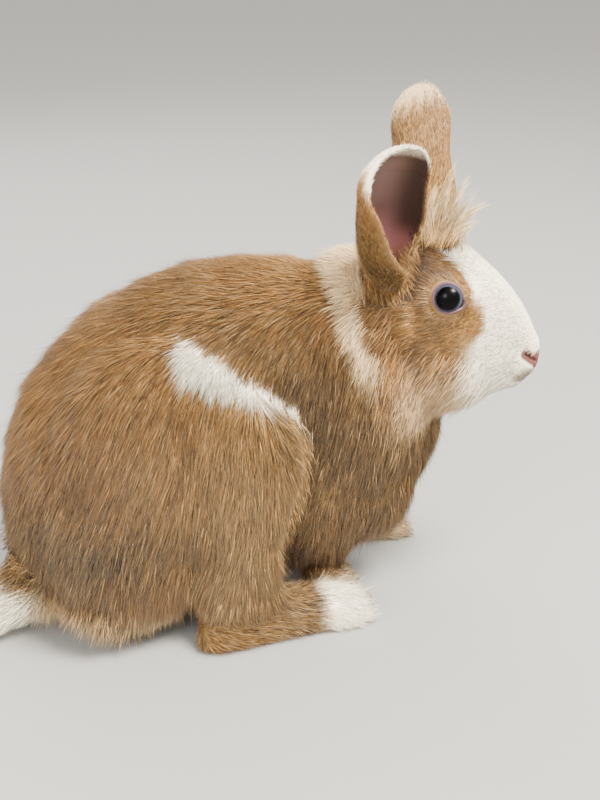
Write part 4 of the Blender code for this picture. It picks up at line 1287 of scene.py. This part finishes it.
ear_material = painted_material("ear_skin", 0.5, 0.35, grain=0.25, grain_size=500.0)
for side in ("right", "left"):
    shell = ear_shell(side)
    index = np.arange(len(shell.data.vertices))
    place_on = [EAR_SPAN * (index % EAR_RING) / EAR_RING, EAR_SPAN * ear_share(index // EAR_RING)]
    inner, along, across = decode(EAR_MARGIN + np.stack(place_on, axis=1))
    paint(shell, ear_colour(side, inner, along, across) * 0.85)
    shell.data.materials.append(ear_material)
    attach(shell, "root")
    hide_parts("ear_" + side)
    surface = read_surface(shell)
    places, out, unwrap = scatter(surface, int(EAR_HAIRS[side] * amount), lambda q: np.ones(len(q)))
    inner, along, across = decode(unwrap)
    front = across if side == "right" else -across
    edge = ease(np.abs(across), 0.80, 0.97)
    ragged = 0.05 * np.sin(along * 90) + 0.05 * np.sin(across * 37)
    rear_edge = np.interp(along, FUR_AT, FUR_EDGE) + ragged
    rear_band = inner & ((front < rear_edge) | (along > 0.87 + 0.09 * rng.random(len(along))))
    keep = ~inner | rear_band | (rng.random(len(along)) < 0.6 * edge)
    keep &= along > 0.03
    columns = (places, out, unwrap, along, across, inner, edge, rear_band, front)
    places, out, unwrap, along, across, inner, edge, rear_band, front = (c[keep] for c in columns)
    base, tip = np.array(EARS[side][:2])
    way = unit(tip - base) @ HEAD_INTO_WORLD.T + rng.normal(scale=0.14, size=(len(places), 3))
    way = lay_down(way, out)
    low_down = ~inner * ease(-along, -0.42, -0.12)
    length = 3.4 - 1.0 * edge - 0.9 * ease(along, 0.80, 0.95) + 4.2 * low_down
    length *= sizes(len(places), 0.7, 1.3)
    lift = np.where(inner, 0.20 if side == "right" else 0.08, 0.15 + 0.10 * low_down)
    stations = straight(places, out, way, length, lift * sizes(len(places), 0.6, 1.5), depth=0.2)
    tone = ear_colour(side, inner & ~rear_band, along, across)
    tone = blend(tone, WHITE if side == "right" else CREAM, inner * ease(along, 0.78, 0.88) * 0.95)
    if side == "right":
        black = inner & (front > 0.70 + 0.08 * np.sin(along * 40)) & (along > 0.25) & (along < 0.90)
        tone[black] = DARK * 1.5
    wide = 0.27 * sizes(len(places), 0.6, 1.4)
    coat_piece("coat_ear_" + side, stations, wide, out, ticked(tone), unwrap)
print("ears made, coat pieces:", len(pieces_of_coat))

# %% Hair round the foot of each ear
EAR_FOOT_HAIRS, CROWN_HAIRS = 2000, 1300
for side in ("right", "left"):
    base, tip = np.array(EARS[side][:2])
    rise = unit(tip - base)

    def round_ear(points, base=base, rise=rise):
        h = head_ruler(points)
        away = distance_to_line(h, [base - rise * 6, base + rise * 12])
        ahead = ease(h[:, 0] - base[0], 2.0, 6.0)
        return ease(away, 9.0 - ahead, 10.5 - ahead) * ease(-away, -17.0, -13.0) * (h[:, 2] > 146)

    places, out, unwrap = sow(EAR_FOOT_HAIRS, round_ear)
    away = head_ruler(places) - base
    away = unit(away - (away @ rise)[:, None] * rise)
    way = unit(rise * 0.85 - away * 0.25 + np.array([-0.45, 0.0, 0.0])) @ HEAD_INTO_WORLD.T
    way = unit(way + rng.normal(scale=0.16, size=way.shape) + out * 0.30)
    stations = straight(places, out, way, sizes(len(places), 5.0, 9.0), depth=0.0)
    wide = 0.30 * sizes(len(places), 0.6, 1.4)
    tone = ticked(coat_colour(places) * 0.85)
    coat_piece("coat_ear_foot_" + side, stations, wide, out, tone, unwrap)


def on_crown(points):
    away = (head_ruler(points) - np.array([37.0, 0.0, 171.0])) / np.array([9.5, 12.0, 6.0])
    return ease(-np.linalg.norm(away, axis=1), -1.1, -0.8)


places, out, unwrap = sow(CROWN_HAIRS, on_crown)
way = np.tile([0.45, 0.0, 1.0], (len(places), 1)) @ HEAD_INTO_WORLD.T
way = unit(way + rng.normal(scale=0.20, size=way.shape))
stations = straight(places, out, way, sizes(len(places), 6.0, 12.0))
tone = ticked(blend(coat_colour(places), BUFF, np.full(len(places), 0.9)))
coat_piece("coat_crown", stations, np.full(len(places), 0.28), out, tone, unwrap)
print("coat pieces:", len(pieces_of_coat))

# %% [markdown]
# ## Eyes and lids
#
# A rabbit's eye is a large dark globe that looks sideways. Its colours are rings round the line of
# sight, so the material measures the angle from that line: black pupil, marbled blue-grey iris,
# dark rim. A clear coat gives the wet shine. Thin mauve lids close round the globe.

# %% Eye material
EYE_AXIS = unit(np.array([[0.12, -1.0, 0.20], [0.12, 1.0, 0.20]]))
# From the rim of the globe to the pupil
EYE_RINGS = [
    (0.50, (0.020, 0.012, 0.016)), (0.56, (0.004, 0.004, 0.007)), (0.60, (0.022, 0.025, 0.040)),
    (0.68, (0.050, 0.056, 0.082)), (0.75, (0.026, 0.030, 0.045)), (0.79, (0.003, 0.003, 0.005)),
    (0.84, (0.0004, 0.0004, 0.0006)),
]


def eye_material(name, centre, axis):
    """Rings of colour round the line of sight, under a clear coat."""
    material, tree, shader = new_material(name, {
        "Roughness": 0.30, "Specular IOR Level": 0.05,
        "Coat Weight": 0.35, "Coat IOR": 1.2, "Coat Roughness": 0.02,
    })
    where = add_node(tree, "TexCoord")
    middle, straight, facing = (add_node(tree, "VectorMath") for _ in range(3))
    middle.operation, straight.operation, facing.operation = "SUBTRACT", "NORMALIZE", "DOT_PRODUCT"
    middle.inputs[1].default_value, facing.inputs[1].default_value = centre, axis
    noise = add_node(tree, "TexNoise", Scale=420.0, Detail=3.0)
    wobble = add_node(tree, "Math")
    wobble.operation = "MULTIPLY_ADD"
    wobble.inputs[1].default_value = 0.10
    rings = add_node(tree, "ValToRGB")
    band = rings.color_ramp
    for k, (place, colour) in enumerate(EYE_RINGS):
        stop = band.elements[0] if k == 0 else band.elements.new(place)
        stop.position, stop.color = place, (*colour, 1)
    band.elements.remove(band.elements[-1])
    link = tree.links.new
    link(where.outputs["Object"], middle.inputs[0])
    link(middle.outputs["Vector"], straight.inputs[0])
    link(straight.outputs["Vector"], facing.inputs[0])
    link(where.outputs["Object"], noise.inputs["Vector"])
    link(noise.outputs["Fac"], wobble.inputs[0])
    link(facing.outputs["Value"], wobble.inputs[2])
    link(wobble.outputs["Value"], rings.inputs["Fac"])
    link(rings.outputs["Color"], shader.inputs["Base Color"])
    return material


def plain_material(name, colour, roughness, specular):
    """One colour, a little uneven."""
    material, tree, shader = new_material(name, {"Roughness": roughness, "Specular IOR Level": specular})
    where = add_node(tree, "TexCoord")
    noise = add_node(tree, "TexNoise", Scale=600.0)
    tone = add_node(tree, "ValToRGB")
    for stop, gain in zip(tone.color_ramp.elements, (0.75, 1.2)):
        stop.color = (*[c * gain for c in colour], 1)
    tree.links.new(where.outputs["Object"], noise.inputs["Vector"])
    tree.links.new(noise.outputs["Fac"], tone.inputs["Fac"])
    tree.links.new(tone.outputs["Color"], shader.inputs["Base Color"])
    return material


# %% Eyeballs and lids
LID_TURNS, LID_TUBE = 64, 12
LID_RADIUS, LID_THICK, LID_CORNER = 6.2, 0.50, 0.35


def lid_points(centre, axis):
    """Rings of a thin tube round the globe, thicker and wider at the front corner."""
    forward, upward = HEAD.to_3x3() @ Vector((1, 0, 0)), Vector((0, 0, 1))
    forward, upward = ((v - axis * v.dot(axis)).normalized() for v in (forward, upward))
    points = []
    for r in range(LID_TURNS):
        angle = 2 * math.pi * r / LID_TURNS
        from_corner = math.atan2(math.sin(angle + LID_CORNER), math.cos(angle + LID_CORNER))
        corner = math.exp(-(from_corner / 0.30) ** 2)
        out_way = forward * math.cos(angle) + upward * math.sin(angle)
        radius = LID_RADIUS + 1.1 * corner
        depth = math.sqrt(max(EYE_RADIUS ** 2 - min(radius, 6.9) ** 2, 0.0)) + 0.38 - 0.3 * corner
        middle = centre + (out_way * radius + axis * depth) * MM
        thick = LID_THICK + 0.40 * corner + 0.10 * max(0.0, math.sin(angle))
        for k in range(LID_TUBE):
            around = 2 * math.pi * k / LID_TUBE
            points.append(middle + (out_way * math.cos(around) * 1.1 + axis * math.sin(around)) * thick * MM)
    return points


lid_material = plain_material("lid_skin", (0.11, 0.052, 0.062), 0.5, 0.4)
for i, side in enumerate(("right", "left")):
    centre = HEAD @ Vector(EYE_AT[i]) * MM
    axis = HEAD.to_3x3() @ Vector(EYE_AXIS[i])
    bpy.ops.object.select_all(action="DESELECT")
    bpy.ops.mesh.primitive_uv_sphere_add(segments=64, ring_count=40, radius=EYE_RADIUS * MM)
    eye = bpy.context.object
    eye.name = "eyeball_" + side
    spin = axis.to_track_quat("Z", "Y").to_matrix().to_4x4()
    eye.data.transform(Matrix.Translation(centre) @ spin)
    eye.data.materials.append(eye_material("eye_" + side, centre, axis))
    bpy.ops.object.shade_smooth()
    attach(eye, "root")
    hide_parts("eye_" + side)

    faces = ring_faces(LID_TURNS, LID_TUBE, closed=True)
    lid = mesh_object("lid_" + side, lid_points(centre, axis), faces)
    face_outwards(lid)
    lid.data.shade_smooth()
    lid.data.materials.append(lid_material)
    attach(lid, "root")
print("eyes and lids made")

# %% [markdown]
# ## Whiskers and claws
#
# Whiskers grow in rows on the upper lip and sweep back. Claws are short dark cones that just show
# at the tips of the toes. Both use the tuft writer, because they taper in the same way.

# %% Whiskers
UPWARDS = [0.0, 0.0, 1.0]
BENT_PLACES = 7


def bent(start, aim, drop):
    """Stations that run from start along aim and drop towards their tips."""
    t = np.linspace(0, 1, BENT_PLACES)[None, :, None]
    return start[:, None] + aim[:, None] * t - np.array([0, 0, drop]) * t ** 2


roots, aims = [], []
for side in (-1, 1):
    for row in range(4):
        for k in range(4):
            roots.append((76.5 - 3.2 * k - 0.8 * row, side * 6.0, 125.0 - 2.8 * row))
            reach = rng.uniform(20, 30) + 1.5 * k
            aim = np.array([-0.55 - 0.10 * k, side * 0.80, 0.10 - 0.14 * row])
            aims.append(unit(aim + rng.normal(scale=0.06, size=3)) * reach)
start, unwrap = skin_near(from_head(np.array(roots)))
count = len(start)
stations = bent(start, np.array(aims) @ HEAD_INTO_WORLD.T * MM, drop=4.0 * MM)
coat_piece(
    "whiskers", stations, np.full(count, 0.16), np.tile(UPWARDS, (count, 1)),
    np.tile([0.62, 0.58, 0.52], (count, BENT_PLACES, 1)), unwrap, (1.0, 1.0, 0.9, 0.8, 0.65, 0.45),
)
print("whiskers:", count)

# %% Claws
starts, aims = [], []


def four_claws(x, y, heading, reach, apart, arch, height, outer=0):
    """Notes the claws of one foot. Middle toes reach furthest, and toes on the outer side less."""
    place = BODY @ Matrix.Translation((x, y, 0.0)) @ Matrix.Rotation(heading, 4, "Z")
    for i in range(4):
        from_middle = i - 1.5
        back = abs(from_middle) * arch + (1.6 if from_middle * outer > 0 else 0.0)
        starts.append(place @ Vector((reach - back, from_middle * apart, height)))
        aims.append(place.to_3x3() @ Vector((1.0, 0.0, -0.35)))


for side in (-1, 1):
    heading = math.radians(side * -8.0)
    four_claws(-59.0, side * 48.0, heading, reach=83.5, apart=6.4, arch=2.2, height=6.0, outer=side)
for x, y, tx, ty in ((5, -13.5, 17, -12), (46, 25, 58, 26)):
    four_claws(x, y, math.atan2(ty - y, tx - x), reach=17.5, apart=4.3, arch=1.7, height=3.6)
starts, aims = np.array(starts) * MM, unit(np.array(aims))
count = len(starts)
claws = tufts(
    "claws", bent(starts, aims * 5.5 * MM, drop=1.2 * MM), np.full(count, 2.0 * MM),
    np.tile(UPWARDS, (count, 1)), np.tile([0.10, 0.075, 0.06], (count, BENT_PLACES, 1)),
    np.full((count, 2), 0.5), (1.0, 1.0, 0.95, 0.8, 0.6, 0.35), thick=1.0,
)
claws.data.materials.append(painted_material("claw_horn", 0.35, 0.5))
print("claws:", count)

# %% [markdown]
# ## Floor, light and camera
#
# The floor is plain and pale. A strong soft light from above and in front shows the form, a weaker
# one from behind the animal's right fills the shadows, and one from its left lights its edges. The
# camera looks down a little, from the animal's right and slightly behind.

# %% Floor
bpy.ops.object.select_all(action="DESELECT")
bpy.ops.mesh.primitive_plane_add(size=6.0, location=(0.0, 1.2, 0.0))
floor = bpy.context.object
floor.name = "floor"
floor_sockets = {"Base Color": (0.32, 0.32, 0.31, 1.0), "Roughness": 0.9}
floor.data.materials.append(new_material("floor", floor_sockets)[0])
floor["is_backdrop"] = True

# %% Lights


def look_at(obj, place, target):
    """Places a lamp or a camera and turns it to look at a point."""
    obj.location = place
    obj.rotation_mode = "QUATERNION"
    obj.rotation_quaternion = (Vector(target) - Vector(place)).to_track_quat("-Z", "Y")


def soft_light(name, place, size, power, colour=(1, 1, 1)):
    lamp = bpy.data.lights.new(name, "AREA")
    lamp.size, lamp.energy, lamp.color = size, power, colour
    look_at(new_object(name, lamp), place, (0.03, 0.0, 0.10))


soft_light("key", (0.40, -0.60, 1.25), 0.45, 81.0, (1.0, 0.935, 0.84))
soft_light("fill", (-0.9, -0.8, 0.7), 0.5, 15.0, (1.0, 0.97, 0.93))
soft_light("rim", (-0.2, 0.9, 0.9), 0.8, 12.0)
world = bpy.data.worlds.new("room")
bpy.context.scene.world = world
world.use_nodes = True
world.node_tree.nodes["Background"].inputs["Color"].default_value = (0.93, 0.888, 0.838, 1.0)
world.node_tree.nodes["Background"].inputs["Strength"].default_value = 1.8

# %% Camera
camera_data = bpy.data.cameras.new("camera")
camera_data.lens, camera_data.sensor_width = 49.5, 36.0
camera = new_object("camera", camera_data)
look_at(camera, (-0.0812, -0.4476, 0.2994), (0.0304, 0.0, 0.094))
bpy.context.scene.camera = camera

# %% Write the sizes and finish
scene_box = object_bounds()
coat_sizes = [len(piece.data.polygons) for piece in pieces_of_coat]
print("coat triangles:", sum(coat_sizes), "largest piece:", max(coat_sizes))
for name, box in (("cad box", cad_box), ("visual box", scene_box)):
    print(name, [[round(v, 4) for v in corner] for corner in box])
